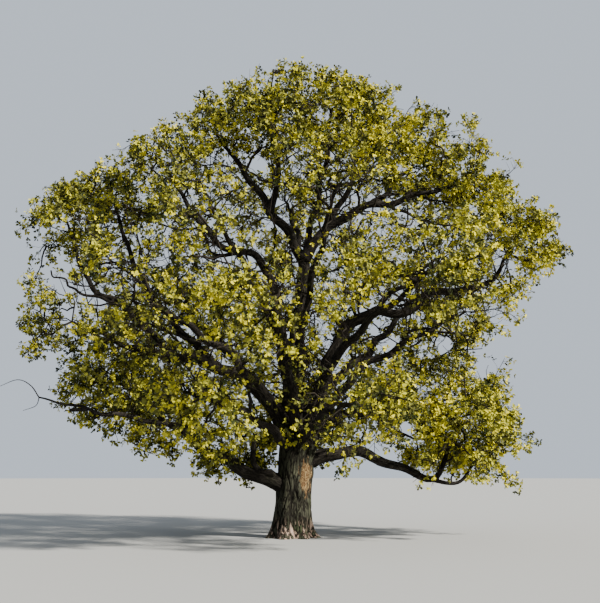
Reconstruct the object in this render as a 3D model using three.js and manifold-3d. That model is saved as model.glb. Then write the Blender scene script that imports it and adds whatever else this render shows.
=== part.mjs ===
// An old field oak in spring leaf: a short fluted trunk, long crooked boughs and a broad open crown.
// The model is in millimetres with +Z up. Its origin is on the ground, in the middle of the trunk's foot.
// Sizes and places in the tables are in metres, and `metre` turns them into millimetres.
import * as THREE from "three";
import { mergeVertices } from "three/addons/utils/BufferGeometryUtils.js";
import Module from "manifold-3d";

const wasm = await Module();
wasm.setup();

const metre = 1000;
const touchGap = 0.0003; // between two pieces that meet
const shortEdge = 0.1; // in the part's millimetres
const almostNothing = 1e-9;
const up = new THREE.Vector3(0, 0, 1);

// The trunk stands on its root flare, leans a little to +X and swells again under the fork.
const trunk = {
  height: 5.5,
  lean: 0.42,
  waist: 0.85,
  flare: { size: 0.36, height: 0.5 },
  forkSwell: { size: 0.1, at: 4.5, height: 0.9 },
  shoulder: { from: 4.9, narrowing: 0.42 },
  buttresses: { count: 7, depth: 0.15, height: 0.9, turn: 0.6 },
  flutes: { count: 3, depth: 0.04 },
  sides: 24,
  rings: 10,
  footRings: 1.3, // above 1, the rings are closer together at the foot
};

// A bough leaves its parent at `at`, a share of the parent's length, bends at its knees and ends where it
// enters its mass of leaves. `foot` is its radius at the parent, `mass` the middle of its leaves and `reach`
// their radius.
const boughs = [
  {
    name: "left_crest", from: "trunk", at: 0.80, foot: 0.46, seed: 1,
    mass: [-4.4, 1.5, 21.6], reach: 3.1,
    knees: [[0.3, 0.1, 9.1], [0.5, 0.2, 13.8], [-1.1, 0.8, 16.6], [-2.6, 1.2, 19.0]],
  },
  {
    name: "left_mid", from: "trunk", at: 0.86, foot: 0.4, seed: 32,
    mass: [-10.9, -1.0, 10.4], reach: 3.1,
    knees: [[-1.8, -0.4, 7.2], [-4.3, -0.8, 8.4], [-7.5, -1.0, 9.0]],
  },
  {
    name: "far_right_high", from: "trunk", at: 0.86, foot: 0.4, seed: 3,
    mass: [11.7, 0.5, 14.9], reach: 3.1,
    knees: [[2.3, 0.0, 9.5], [4.1, 0.1, 11.1], [5.4, 0.2, 11.0], [7.3, 0.3, 12.1], [10.1, 0.5, 12.7]],
  },
  {
    name: "left_low", from: "trunk", at: 0.44, foot: 0.38, seed: 4,
    mass: [-7.9, -2.0, 7.0], reach: 3.3,
    knees: [[-2.3, -0.8, 3.2], [-4.6, -1.5, 4.5]],
  },
  {
    name: "right_low", from: "trunk", at: 0.64, foot: 0.34, seed: 5,
    mass: [8.1, 0.0, 5.4], reach: 2.9,
    knees: [[2.7, 0.0, 4.1], [4.6, 0.0, 3.6], [7.0, 0.0, 2.9]],
  },
  {
    name: "left_shoulder", from: "trunk", at: 0.88, foot: 0.3, seed: 6,
    mass: [-6.5, -1.5, 18.3], reach: 3.1,
    knees: [[-0.7, 0.3, 10.6], [-1.6, -0.1, 13.7], [-4.0, -0.8, 14.7]],
  },
  {
    name: "right_mid", from: "trunk", at: 0.84, foot: 0.28, seed: 7,
    mass: [8.5, -1.5, 10.8], reach: 2.9,
    knees: [[3.1, -0.4, 7.8], [5.2, -0.9, 9.1]],
  },
  {
    name: "right_high", from: "left_crest", at: 0.5, foot: 0.28, seed: 8,
    mass: [9.1, -1.0, 17.7], reach: 2.8,
    knees: [[1.4, -0.2, 15.0], [3.1, -0.5, 16.2], [6.0, -0.8, 16.9]],
  },
  {
    name: "left_high", from: "left_mid", at: 0.4, foot: 0.22, seed: 9,
    mass: [-9.9, 2.0, 17.8], reach: 2.8,
    knees: [[-6.6, 0.6, 11.2], [-8.3, 1.4, 13.7]],
  },
  {
    name: "far_left_high", from: "left_mid", at: 0.58, foot: 0.19, seed: 10,
    mass: [-11.7, 0.0, 15.8], reach: 2.8,
    knees: [[-8.5, -0.7, 11.3], [-10.3, -0.4, 12.5]],
  },
  {
    name: "right_crest", from: "left_crest", at: 0.46, foot: 0.2, seed: 11,
    mass: [2.1, 1.6, 22.8], reach: 3.1,
    knees: [[0.9, 1.0, 15.6], [1.6, 1.6, 18.8]],
  },
  {
    name: "mid_crest", from: "left_crest", at: 0.68, foot: 0.17, seed: 12,
    mass: [-1.1, -1.0, 21.9], reach: 2.9,
    knees: [[-0.8, -0.2, 17.9]],
  },
  {
    name: "right_shoulder", from: "right_high", at: 0.22, foot: 0.17, seed: 13,
    mass: [4.7, -1.5, 20.0], reach: 3.1,
    knees: [[2.8, -1.0, 17.2]],
  },
  {
    name: "right_knoll", from: "right_high", at: 0.5, foot: 0.14, seed: 14,
    mass: [7.7, 1.6, 20.9], reach: 2.4,
    knees: [[5.7, 1.0, 18.6]],
  },
  {
    name: "front_left_low", from: "trunk", at: 0.76, foot: 0.25, seed: 15,
    mass: [-3.4, -8.0, 6.1], reach: 3.2,
    knees: [[-1.7, -3.9, 5.5]],
  },
  {
    name: "front_right_low", from: "trunk", at: 0.84, foot: 0.25, seed: 16,
    mass: [2.6, -8.6, 5.8], reach: 3.1,
    knees: [[1.5, -4.2, 5.6]],
  },
  {
    name: "right_arch", from: "trunk", at: 0.84, foot: 0.2, seed: 17,
    mass: [6.4, 1.8, 4.7], reach: 2.1,
    knees: [[2.7, 0.9, 6.0], [4.2, 1.2, 5.7]],
  },
  {
    name: "front_mid", from: "trunk", at: 0.88, foot: 0.27, seed: 18,
    mass: [-0.7, -10.1, 9.6], reach: 3.2,
    knees: [[-0.2, -4.6, 8.3]],
  },
  {
    name: "front_left_mid", from: "trunk", at: 0.86, foot: 0.27, seed: 19,
    mass: [-6.6, -7.0, 10.6], reach: 3.4,
    knees: [[-2.6, -3.0, 8.2]],
  },
  {
    name: "front_right_mid", from: "trunk", at: 0.86, foot: 0.27, seed: 20,
    mass: [6.1, -7.2, 11.6], reach: 3.4,
    knees: [[2.3, -3.2, 8.6]],
  },
  {
    name: "front_left_high", from: "left_shoulder", at: 0.28, foot: 0.2, seed: 21,
    mass: [-3.6, -6.0, 14.8], reach: 3.1,
    knees: [[-1.9, -2.6, 12.0]],
  },
  {
    name: "front_right_high", from: "left_crest", at: 0.26, foot: 0.2, seed: 22,
    mass: [2.0, -6.4, 15.3], reach: 3.2,
    knees: [[1.1, -2.8, 12.6]],
  },
  {
    name: "back_left_low", from: "trunk", at: 0.82, foot: 0.26, seed: 23,
    mass: [-6.8, 6.8, 7.8], reach: 3.4,
    knees: [[-3.0, 3.2, 6.4]],
  },
  {
    name: "back_low", from: "trunk", at: 0.86, foot: 0.26, seed: 24,
    mass: [-0.3, 9.6, 7.9], reach: 3.4,
    knees: [[0.3, 4.4, 6.8]],
  },
  {
    name: "back_right_low", from: "trunk", at: 0.8, foot: 0.26, seed: 25,
    mass: [6.2, 6.8, 7.4], reach: 3.4,
    knees: [[3.2, 3.1, 6.3]],
  },
  {
    name: "back_left_mid", from: "trunk", at: 0.87, foot: 0.29, seed: 26,
    mass: [-8.2, 7.2, 14.2], reach: 3.6,
    knees: [[-2.9, 2.6, 8.8], [-5.6, 5.0, 11.6]],
  },
  {
    name: "back_mid", from: "trunk", at: 0.88, foot: 0.29, seed: 27,
    mass: [-1.2, 10.6, 13.6], reach: 3.6,
    knees: [[-0.5, 4.2, 9.8]],
  },
  {
    name: "back_right_mid", from: "far_right_high", at: 0.14, foot: 0.26, seed: 28,
    mass: [7.6, 7.4, 13.8], reach: 3.6,
    knees: [[4.4, 3.0, 9.8]],
  },
  {
    name: "back_high", from: "left_crest", at: 0.34, foot: 0.24, seed: 29,
    mass: [-0.4, 7.0, 19.2], reach: 3.7,
    knees: [[0.5, 3.2, 14.8]],
  },
];

// A bare dead limb runs out to the left from the low bough. It keeps a thin hooked end and a broken stub.
const deadLimb = {
  from: "left_low",
  at: 0.72,
  foot: 0.13,
  knees: [[-8.2, -2.3, 5.7], [-9.3, -2.1, 5.95], [-10.4, -1.9, 6.15], [-11.4, -1.8, 6.45]],
  end: [-12.1, -1.7, 6.6],
  tip: 0.035,
  hook: { knees: [[-12.5, -1.7, 7.15], [-13.2, -1.7, 7.4]], end: [-14.1, -1.7, 7.1], foot: 0.034, tip: 0.01 },
  hanging: { knees: [[-12.2, -1.8, 6.2]], end: [-12.75, -1.9, 5.95], foot: 0.024, tip: 0.01 },
  stub: { share: 0.62, end: [-10.5, -2.1, 5.95], foot: 0.1, tip: 0.08 },
};

// Limbs: how crooked they grow, how they swell at the foot, and how finely they are faceted.
const limb = {
  tip: 0.032, // of the reach of its leaves
  taper: 0.8,
  collar: { size: 0.3, length: 1.5 },
  entry: 0.7, // the share of the reach at which a bough hands over to the stem of its leaves
  step: 0.35,
  crook: { size: 0.11, side: 3.3, rise: 2.4, fullLength: 6 },
  startShift: 0.5,
  ringStep: 1.5,
  thickSides: 6,
  thinSides: 5,
  thick: 0.27,
};

// Masses: every mass is a slightly flattened ball, cut off from its neighbours by the planes between them.
const flatness = 0.86;
const cellGap = 0.05;
const lowestLeaf = 0.6;

// Twigs fork from the stem to even places in the mass. Even places for the tips of its sprays come next, and
// each spray leaves the wood where it gets about its right length. One blade stands for a spray of leaves.
// A shell is the part of the reach that such places lie in.
const twig = {
  perVolume: 0.055,
  shell: [0.25, 0.72],
  margin: 0.5,
  balance: 0.3,
  thin: 0.026,
  sides: 3,
  pipe: 0.5,
  sideFork: 0.6,
  stem: 2,
};
const blade = {
  perVolume: 0.16,
  shell: [0.5, 1],
  margin: 0.02,
  length: 2.0,
  range: [1.2, 2.8],
  width: 0.76, // of its length
  thick: 0.03, // of its length
  widest: 0.6,
  sunk: 0.004,
  free: 0.15, // the share of a blade, from its base, that may come near other wood
  lean: 0.5,
  spacing: 0.3,
  turns: 5,
  clear: 0.04,
};
const seedStep = 104729;
const sampling = { candidates: 12, tries: 300, step: 0.2 };

// Where the sky shows through the crown from the open side: places in the trunk's plane, and their radii.
const eye = [0.4, -42, 3.1];
const skyWindows = [
  [5.5, 5.2, 0.6], [6.5, 7.2, 0.6], [-4.1, 18.6, 0.5], [-1.5, 18.4, 0.5], [-5.1, 16.6, 0.5],
  [-1.2, 15.5, 0.45], [-3.9, 15.3, 0.5],
  [-6.0, 13.8, 0.5], [-3.4, 13.8, 0.5], [-12.6, 13.9, 0.6], [-10.6, 12.4, 0.8], [-9.9, 11.4, 0.5],
  [2.7, 17.1, 0.45], [5.0, 16.1, 0.6], [6.4, 15.9, 0.5], [10.3, 14.9, 0.5], [11.3, 12.4, 0.7],
  [4.2, 12.1, 0.5], [5.3, 10.5, 0.5], [7.2, 9.4, 0.5], [8.7, 8.8, 0.6], [-2.0, 7.7, 0.5],
];

const barkColour = 0x4b4239;
const leafColours = [0x8d8f2a, 0x7d8a2c, 0x9a9427, 0x6f7f2f];

// A plain generator of even numbers from 0 to 1. Every run draws the same ones.
function seeded(seed) {
  let state = seed;
  return () => {
    state = (state * 16807) % 2147483647;
    return state / 2147483647;
  };
}

const vector = ([x, y, z]) => new THREE.Vector3(x, y, z);

// A smooth line through the points, walked at even steps, with a crooked sway that fades at both ends.
function route(points, seed) {
  const curve = new THREE.CatmullRomCurve3(points, false, "catmullrom", 0.5);
  const length = curve.getLength();
  const steps = Math.ceil(length / limb.step);
  const random = seeded(seed);
  const [sidePhase, risePhase] = [random(), random()];
  const chord = points[points.length - 1].clone().sub(points[0]);
  const side = new THREE.Vector3().crossVectors(chord, up).normalize();
  const rise = new THREE.Vector3().crossVectors(side, chord).normalize();
  const size = limb.crook.size * Math.min(1, length / limb.crook.fullLength);
  return Array.from({ length: steps + 1 }, (_, i) => {
    const share = i / steps;
    const fade = Math.sin(Math.PI * share) * size;
    const sway = Math.sin(2 * Math.PI * ((share * length) / limb.crook.side + sidePhase));
    const heave = Math.sin(2 * Math.PI * ((share * length) / limb.crook.rise + risePhase));
    return curve.getPointAt(share).addScaledVector(side, sway * fade).addScaledVector(rise, heave * fade);
  });
}

// The point and direction at a distance along a route, and the whole of its length.
function walk(line, distance) {
  let left = distance;
  for (let i = 1; i < line.length; i++) {
    const span = line[i].distanceTo(line[i - 1]);
    if (left <= span || i === line.length - 1) {
      const direction = line[i].clone().sub(line[i - 1]).normalize();
      return { point: line[i - 1].clone().addScaledVector(direction, left), direction };
    }
    left -= span;
  }
  return null;
}
const lengthOf = (line) => line.slice(1).reduce((sum, p, i) => sum + p.distanceTo(line[i]), 0);

// A closed mesh without normals or texture coordinates becomes a solid.
function solidOf(geometry) {
  geometry.deleteAttribute("normal");
  geometry.deleteAttribute("uv");
  const merged = mergeVertices(geometry, 1e-3);
  return new wasm.Manifold(
    new wasm.Mesh({
      numProp: 3,
      vertProperties: merged.attributes.position.array,
      triVerts: new Uint32Array(merged.index.array),
    }),
  );
}

// A cylinder is bent along its places: each ring is moved to one, turned its way and given its radius.
function tube(places, sides) {
  const rings = places.length - 1;
  const geometry = new THREE.CylinderGeometry(1, 1, 1, sides, rings);
  const position = geometry.attributes.position;
  const turn = new THREE.Quaternion();
  const corner = new THREE.Vector3();
  for (let i = 0; i < position.count; i++) {
    const place = places[Math.round((0.5 + position.getY(i)) * rings)];
    turn.setFromUnitVectors(up, place.direction);
    corner.set(position.getX(i), -position.getZ(i), 0).multiplyScalar(place.radius).applyQuaternion(turn);
    corner.add(place.point).multiplyScalar(metre);
    position.setXYZ(i, corner.x, corner.y, corner.z);
  }
  return solidOf(geometry);
}

// The rings of a limb, from its foot to a distance along its route, thicker and longer by what it is grown.
function limbRings(line, end, radiusAt, grown = 0) {
  const rings = Math.max(1, Math.round(end / limb.ringStep));
  const places = Array.from({ length: rings + 1 }, (_, i) => {
    const distance = (end * i) / rings;
    return { ...walk(line, distance), radius: radiusAt(distance) + grown };
  });
  places[0].point.addScaledVector(places[0].direction, -grown);
  places[rings].point.addScaledVector(places[rings].direction, grown);
  return places;
}

const fadeOut = (distance, size) => Math.exp(-distance / size);

// The trunk's radius at a height, towards an angle: round, with buttresses at the foot and shallow flutes.
function trunkRadius(z, angle) {
  const { flare, forkSwell, shoulder, buttresses, flutes } = trunk;
  const swell = forkSwell.size * Math.exp(-(((z - forkSwell.at) / forkSwell.height) ** 2));
  const shoulderShare = Math.max(0, (z - shoulder.from) / (trunk.height - shoulder.from));
  const narrowing = shoulder.narrowing * shoulderShare ** 2;
  const round = trunk.waist + flare.size * fadeOut(z, flare.height) + swell - narrowing;
  const ridges = Math.cos(buttresses.count * angle + buttresses.turn);
  const roots = buttresses.depth * fadeOut(z, buttresses.height) * ridges;
  return round * (1 + roots + flutes.depth * Math.cos(flutes.count * angle));
}

// The trunk's middle line leans more the higher it gets.
function trunkAxis(z) {
  const share = z / trunk.height;
  return new THREE.Vector3(trunk.lean * share * share, 0, z);
}

function trunkSolid(grown) {
  const geometry = new THREE.CylinderGeometry(1, 1, 1, trunk.sides, trunk.rings);
  const position = geometry.attributes.position;
  for (let i = 0; i < position.count; i++) {
    const share = (position.getY(i) + 0.5) ** trunk.footRings;
    const z = share * trunk.height;
    const [x, y] = [position.getX(i), -position.getZ(i)];
    const angle = Math.atan2(y, x);
    const radius = Math.hypot(x, y) * (trunkRadius(z, angle) + grown);
    const corner = trunkAxis(z).add(new THREE.Vector3(radius * Math.cos(angle), radius * Math.sin(angle), 0));
    if (share === 1) corner.z += grown;
    corner.multiplyScalar(metre);
    position.setXYZ(i, corner.x, corner.y, corner.z);
  }
  return solidOf(geometry);
}

// Every limb by name: its route, where its wood ends, and its radius at a distance from its foot.
const limbs = new Map();
const trunkHeights = Array.from({ length: trunk.rings + 1 }, (_, i) => (trunk.height * i) / trunk.rings);
const trunkLine = trunkHeights.map(trunkAxis);
const trunkReach = (z) => trunkRadius(z, 0);
limbs.set("trunk", {
  line: trunkLine,
  length: lengthOf(trunkLine),
  radiusAt: trunkReach,
  rings: limbRings(trunkLine, lengthOf(trunkLine), trunkReach),
});

// A limb tapers from its foot to its tip and has a swollen collar where it comes out of its parent.
function limbRadius({ foot, tip, end, buried }) {
  return (distance) => {
    const share = Math.min(1, distance / end);
    const outside = Math.max(0, distance - buried);
    const collar = limb.collar.size * foot * fadeOut(outside, limb.collar.length * foot);
    return tip + (foot - tip) * (1 - share) ** limb.taper + collar * (1 - share);
  };
}

// A limb starts inside its parent, off the middle line on the side that it leaves from.
function startOf(parentName, at, towards, foot) {
  const parent = limbs.get(parentName);
  const distance = at * parent.length;
  const { point } = walk(parent.line, distance);
  const buried = parent.radiusAt(distance);
  if (parentName === "trunk") {
    const outward = towards.clone().sub(point).setZ(0).normalize();
    point.addScaledVector(outward, Math.max(0, buried - foot) * limb.startShift);
  }
  return { point, buried: parentName === "trunk" ? foot + (buried - foot) * (1 - limb.startShift) : buried };
}

// Distance with the height stretched, so that a flattened ball is round in it.
function flatDistance(a, b) {
  return Math.hypot(a.x - b.x, a.y - b.y, (a.z - b.z) / flatness);
}

const masses = boughs.map(({ name, mass, reach, seed }) => ({ name, middle: vector(mass), reach, seed }));

// A point keeps that far inside the mass's own ball and its own side of every plane to a neighbour.
function inMass(point, own, margin) {
  const distance = flatDistance(point, own.middle);
  if (distance > own.reach - margin || point.z < lowestLeaf) return false;
  const power = distance ** 2 - own.reach ** 2;
  return masses.every((other) => {
    if (other === own) return true;
    const apart = flatDistance(own.middle, other.middle);
    if (apart > own.reach + other.reach) return true;
    const otherPower = flatDistance(point, other.middle) ** 2 - other.reach ** 2;
    return otherPower - power > 2 * apart * (margin + cellGap);
  });
}

// How far along its route a bough has come well within its leaves. It ends part of the way along a step.
function entryOf(line, own) {
  let distance = 0;
  for (let i = 1; i < line.length; i++) {
    distance += line[i].distanceTo(line[i - 1]);
    if (flatDistance(line[i], own.middle) < limb.entry * own.reach && inMass(line[i], own, cellGap)) break;
  }
  return distance + limb.step / 3;
}

boughs.forEach((bough, i) => {
  const knees = bough.knees.map(vector);
  const middle = vector(bough.mass);
  const start = startOf(bough.from, bough.at, knees[0], bough.foot);
  const line = route([start.point, ...knees, middle], 11 + i);
  const end = entryOf(line, masses[i]);
  const tip = limb.tip * bough.reach;
  const radiusAt = limbRadius({ foot: bough.foot, tip, end, buried: start.buried });
  const rings = limbRings(line, end, radiusAt);
  limbs.set(bough.name, { line, length: lengthOf(line), end, radiusAt, rings, tip });
});

// The dead limb is a limb of its own, with its side pieces.
const deadStart = startOf(deadLimb.from, deadLimb.at, vector(deadLimb.knees[0]), deadLimb.foot);
const deadLine = route([deadStart.point, ...deadLimb.knees.map(vector), vector(deadLimb.end)], 3);
const deadEnd = lengthOf(deadLine);
const deadRadius = limbRadius({ ...deadLimb, end: deadEnd, buried: deadStart.buried });
limbs.set("dead_limb", { line: deadLine, end: deadEnd, rings: limbRings(deadLine, deadEnd, deadRadius) });

// A thin broken or dead piece at the side of the dead limb.
function sidePiece({ knees = [], end, foot, tip }, start) {
  const line = route([start, ...knees.map(vector), vector(end)], 5);
  const length = lengthOf(line);
  const radiusAt = (distance) => foot + (tip - foot) * (distance / length);
  return tube(limbRings(line, length, radiusAt), limb.thinSides);
}

function deadLimbSolid() {
  const { line, end, rings } = limbs.get("dead_limb");
  const tip = walk(line, end - 0.02).point;
  return tube(rings, limb.thinSides)
    .add(sidePiece(deadLimb.hook, tip))
    .add(sidePiece(deadLimb.hanging, tip))
    .add(sidePiece(deadLimb.stub, walk(line, end * deadLimb.stub.share).point));
}

// The shortest distance between two straight stretches, a to b and c to d.
function stretchDistance(a, b, c, d) {
  const [u, v, w] = [b.clone().sub(a), d.clone().sub(c), a.clone().sub(c)];
  const [uu, uv, vv, uw, vw] = [u.dot(u), u.dot(v), v.dot(v), u.dot(w), v.dot(w)];
  const slant = uu * vv - uv * uv;
  let s = slant < almostNothing ? 0 : THREE.MathUtils.clamp((uv * vw - vv * uw) / slant, 0, 1);
  const t = THREE.MathUtils.clamp((uv * s + vw) / vv, 0, 1);
  s = THREE.MathUtils.clamp((uv * t - uw) / uu, 0, 1);
  return w.addScaledVector(u, s).addScaledVector(v, -t).length();
}

const limbStretches = [...limbs.values()].flatMap(({ rings }) =>
  rings.slice(1).map((to, i) => ({ from: rings[i].point, to: to.point, radius: rings[i].radius })),
);

// A stretch that thick, from a to b, keeps clear of all limbs.
function clearOfLimbs(a, b, radius) {
  return limbStretches.every((s) => stretchDistance(a, b, s.from, s.to) > s.radius + radius + blade.clear);
}

// The line of sight from the eye through a point meets the plane of the trunk away from every window.
function awayFromWindows(point) {
  const share = -eye[1] / (point.y - eye[1]);
  const x = eye[0] + (point.x - eye[0]) * share;
  const z = eye[2] + (point.z - eye[2]) * share;
  return skyWindows.every(([wx, wz, radius]) => Math.hypot(x - wx, z - wz) > radius);
}

// A direction, all ways equally likely.
function anyDirection(random) {
  const point = new THREE.Vector3();
  do point.set(random() * 2 - 1, random() * 2 - 1, random() * 2 - 1);
  while (point.length() > 1);
  return point.normalize();
}

// Even places in the shell of a mass: of several candidates, each time the one farthest from those so far.
function evenPlaces(own, { perVolume, shell, margin }, random) {
  const count = Math.round(perVolume * own.reach ** 3 * flatness * Math.PI * (4 / 3));
  const places = [];
  for (let tries = 0; places.length < count && tries < sampling.tries; tries++) {
    let best = null;
    for (let i = 0; i < sampling.candidates; i++) {
      const offset = anyDirection(random);
      offset.multiplyScalar(own.reach * THREE.MathUtils.lerp(...shell, random()));
      const point = own.middle.clone().add(offset.setZ(offset.z * flatness));
      if (!inMass(point, own, margin) || !awayFromWindows(point)) continue;
      const distance = Math.min(2 * own.reach, ...places.map((p) => p.distanceTo(point)));
      if (!best || distance > best.distance) best = { point, distance };
    }
    if (best) places.push(best.point);
  }
  return places;
}

// Each place joins the wood, nearest first, where the way back along the wood stays short.
function growTwigs(stem, places, tip) {
  const nodes = stem.map((point, i) => ({ point, parent: i - 1, way: i ? point.distanceTo(stem[0]) : 0 }));
  const waiting = places.map((place) => ({ place, cost: Infinity, parent: -1 }));
  const offer = (index) => {
    const { point, way } = nodes[index];
    waiting.forEach((w) => {
      const cost = w.place.distanceTo(point) + twig.balance * way;
      if (cost < w.cost && clearOfLimbs(point, w.place, tip)) Object.assign(w, { cost, parent: index });
    });
  };
  nodes.forEach((_, i) => i && offer(i));
  while (waiting.length) {
    waiting.sort((a, b) => a.cost - b.cost);
    const { place, parent } = waiting.shift();
    if (parent < 0) break;
    nodes.push({ point: place, parent, way: nodes[parent].way + place.distanceTo(nodes[parent].point) });
    offer(nodes.length - 1);
  }
  return nodes;
}

// A straight stretch from a to b goes through the triangle pqr.
function pierces(a, b, p, q, r) {
  const [along, pq, pr] = [b.clone().sub(a), q.clone().sub(p), r.clone().sub(p)];
  const across = along.clone().cross(pr);
  const size = pq.dot(across);
  if (Math.abs(size) < almostNothing) return false;
  const away = a.clone().sub(p);
  const u = away.dot(across) / size;
  const turned = away.cross(pq);
  const v = along.dot(turned) / size;
  const t = pr.dot(turned) / size;
  return u >= 0 && v >= 0 && u + v <= 1 && t >= 0 && t <= 1;
}

// A straight stretch goes through a blade, apart from the blade's own root.
function bladePierced(from, to, { base, corners: [, left, tip, right] }) {
  const root = base.clone().lerp(tip, blade.free);
  return pierces(from, to, root, left, tip) || pierces(from, to, root, tip, right);
}

// Two blades cross where an edge of one goes through the other.
function bladesCross(one, two) {
  const through = (a, b) => a.corners.some((from, i) => bladePierced(from, a.corners[(i + 1) % 4], b));
  return through(one, two) || through(two, one);
}

// A blade is a pointed lozenge from its base to its tip, with its face turned by `roll` out of the level.
function bladeFrom(base, tip, roll) {
  const length = tip.distanceTo(base);
  const along = tip.clone().sub(base).normalize();
  const turn = new THREE.Quaternion().setFromAxisAngle(along, roll);
  const across = new THREE.Vector3().crossVectors(up, along).normalize().applyQuaternion(turn);
  const out = new THREE.Vector3().crossVectors(along, across);
  const widest = base.clone().addScaledVector(along, length * blade.widest);
  const half = (length * blade.width) / 2;
  const [left, right] = [-half, half].map((reach) => widest.clone().addScaledVector(across, reach));
  return { base, along, across, out, length, corners: [base, left, tip, right] };
}

// Where a spray may leave the wood: its length comes near the right one, and it leans forward on its twig.
function baseFor(tip, nodes, used) {
  let best = null;
  nodes.forEach(({ point, parent }, i) => {
    if (i < 2) return;
    const from = nodes[parent].point;
    const span = point.distanceTo(from);
    const direction = point.clone().sub(from).normalize();
    for (let at = span; at > 0; at -= sampling.step) {
      const base = from.clone().addScaledVector(direction, at);
      const length = base.distanceTo(tip);
      if (length < blade.range[0] || length > blade.range[1]) continue;
      if (used.some((other) => other.distanceTo(base) < blade.spacing)) continue;
      const forward = tip.clone().sub(base).dot(direction) / length;
      const cost = Math.abs(length - blade.length) + blade.lean * (1 - forward);
      if (!best || cost < best.cost) best = { base, cost };
    }
  });
  return best && best.base;
}

// The blades of a mass. One that can't keep to its space, or would cross a limb or a blade, is left out.
function growBlades(nodes, tips, own, random) {
  const blades = [];
  const twigs = nodes.slice(1).map(({ point, parent }) => ({ from: nodes[parent].point, to: point }));
  tips.forEach((tip) => {
    const base = baseFor(tip, nodes, blades.map((other) => other.base));
    const firstRoll = (random() - 0.5) * Math.PI;
    if (!base) return;
    for (let i = 0; i < blade.turns; i++) {
      const tried = bladeFrom(base, tip, firstRoll + (Math.PI * i) / blade.turns);
      const [, left, , right] = tried.corners;
      const kept = [left, right].every((corner) => inMass(corner, own, cellGap));
      const lines = [[base, tip], [left, right], [base, left], [base, right], [tip, left], [tip, right]];
      const clear = lines.every(([from, to]) => clearOfLimbs(from, to, blade.clear));
      const crossed = [...limbStretches, ...twigs].some(({ from, to }) => bladePierced(from, to, tried));
      if (!kept || !clear || crossed || blades.some((other) => bladesCross(tried, other))) continue;
      blades.push(tried);
      return;
    }
  });
  return blades;
}

// A blade of four faces, folded along its keel: its side corners stand a little above the line to its tip.
function bladeSolid({ base, along, across, out, length }) {
  const geometry = new THREE.TetrahedronGeometry(1);
  const position = geometry.attributes.position;
  for (let i = 0; i < position.count; i++) {
    const [x, y, z] = [position.getX(i), position.getY(i), position.getZ(i)].map(Math.sign);
    const corner = base.clone();
    if (x === y) corner.addScaledVector(along, x > 0 ? length : -blade.sunk);
    else {
      corner.addScaledVector(along, length * blade.widest);
      corner.addScaledVector(across, (x * length * blade.width) / 2);
      corner.addScaledVector(out, length * blade.thick);
    }
    corner.multiplyScalar(metre);
    position.setXYZ(i, corner.x, corner.y, corner.z);
  }
  return solidOf(geometry);
}

// The twigs as bent tubes: each runs on through the heaviest fork at every node, and the others start anew.
function twigSolids(nodes, tip, direction) {
  nodes.forEach((node) => (node.carried = 1));
  for (let i = nodes.length - 1; i > 0; i--) nodes[nodes[i].parent].carried += nodes[i].carried;
  const radius = (i) => Math.max(twig.thin, tip * (nodes[i].carried / nodes[0].carried) ** twig.pipe);
  const runs = [];
  const follow = (i, run) => {
    run.push({ point: nodes[i].point, radius: radius(i) });
    const forks = nodes.flatMap((node, j) => (node.parent === i ? [j] : []));
    forks.sort((a, b) => nodes[b].carried - nodes[a].carried);
    forks.forEach((j, rank) => {
      if (rank === 0) return follow(j, run);
      const foot = Math.min(radius(j), radius(i) * twig.sideFork);
      const side = [{ point: nodes[i].point, radius: foot }];
      runs.push(side);
      return follow(j, side);
    });
  };
  runs.push([]);
  follow(0, runs[0]);
  runs[0][0].direction = direction;
  return runs.map((run) => {
    run.forEach((place, i) => {
      if (place.direction) return;
      const [before, after] = [run[Math.max(0, i - 1)], run[Math.min(run.length - 1, i + 1)]];
      place.direction = after.point.clone().sub(before.point).normalize();
    });
    return tube(run, twig.sides);
  });
}

// The one piece that counts, without its loose scraps and without edges too short to matter.
function largestPiece(solid) {
  const pieces = solid.simplify(shortEdge).decompose();
  return pieces.reduce((best, piece) => (piece.volume() > best.volume() ? piece : best));
}

// A mass of leaves: a stem that takes over 0.3 mm from the bough's end, its twigs, and the blades on them.
function massSolid(own) {
  const random = seeded(own.seed * seedStep);
  const { line, length, end, tip } = limbs.get(own.name);
  const cut = walk(line, end);
  const stem = [cut.point.clone().addScaledVector(cut.direction, touchGap)];
  for (let i = 1; i <= twig.stem; i++) stem.push(walk(line, end + ((length - end) * i) / twig.stem).point);
  const nodes = growTwigs(stem, evenPlaces(own, twig, random), tip);
  const tips = evenPlaces(own, blade, random);
  const blades = growBlades(nodes, tips, own, random);
  const pieces = [...twigSolids(nodes, tip, cut.direction), ...blades.map(bladeSolid)];
  return largestPiece(wasm.Manifold.union(pieces));
}

// The limbs are cut clear of the trunk and of the limbs before them, so that no two overlap.
const solids = new Map();
const grown = new Map();
solids.set("trunk", trunkSolid(0));
grown.set("trunk", trunkSolid(touchGap));
const sidesOf = (foot) => (foot > limb.thick ? limb.thickSides : limb.thinSides);

boughs.forEach(({ name, foot }) => {
  const { line, end, radiusAt, rings } = limbs.get(name);
  let solid = tube(rings, sidesOf(foot));
  grown.forEach((other) => (solid = solid.subtract(other)));
  solids.set(`bough_${name}`, largestPiece(solid));
  grown.set(name, tube(limbRings(line, end, radiusAt, touchGap), sidesOf(foot)));
});
let dead = deadLimbSolid();
grown.forEach((other) => (dead = dead.subtract(other)));
solids.set("dead_limb", largestPiece(dead));
masses.forEach((own) => solids.set(`leaves_${own.name}`, massSolid(own)));

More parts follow.
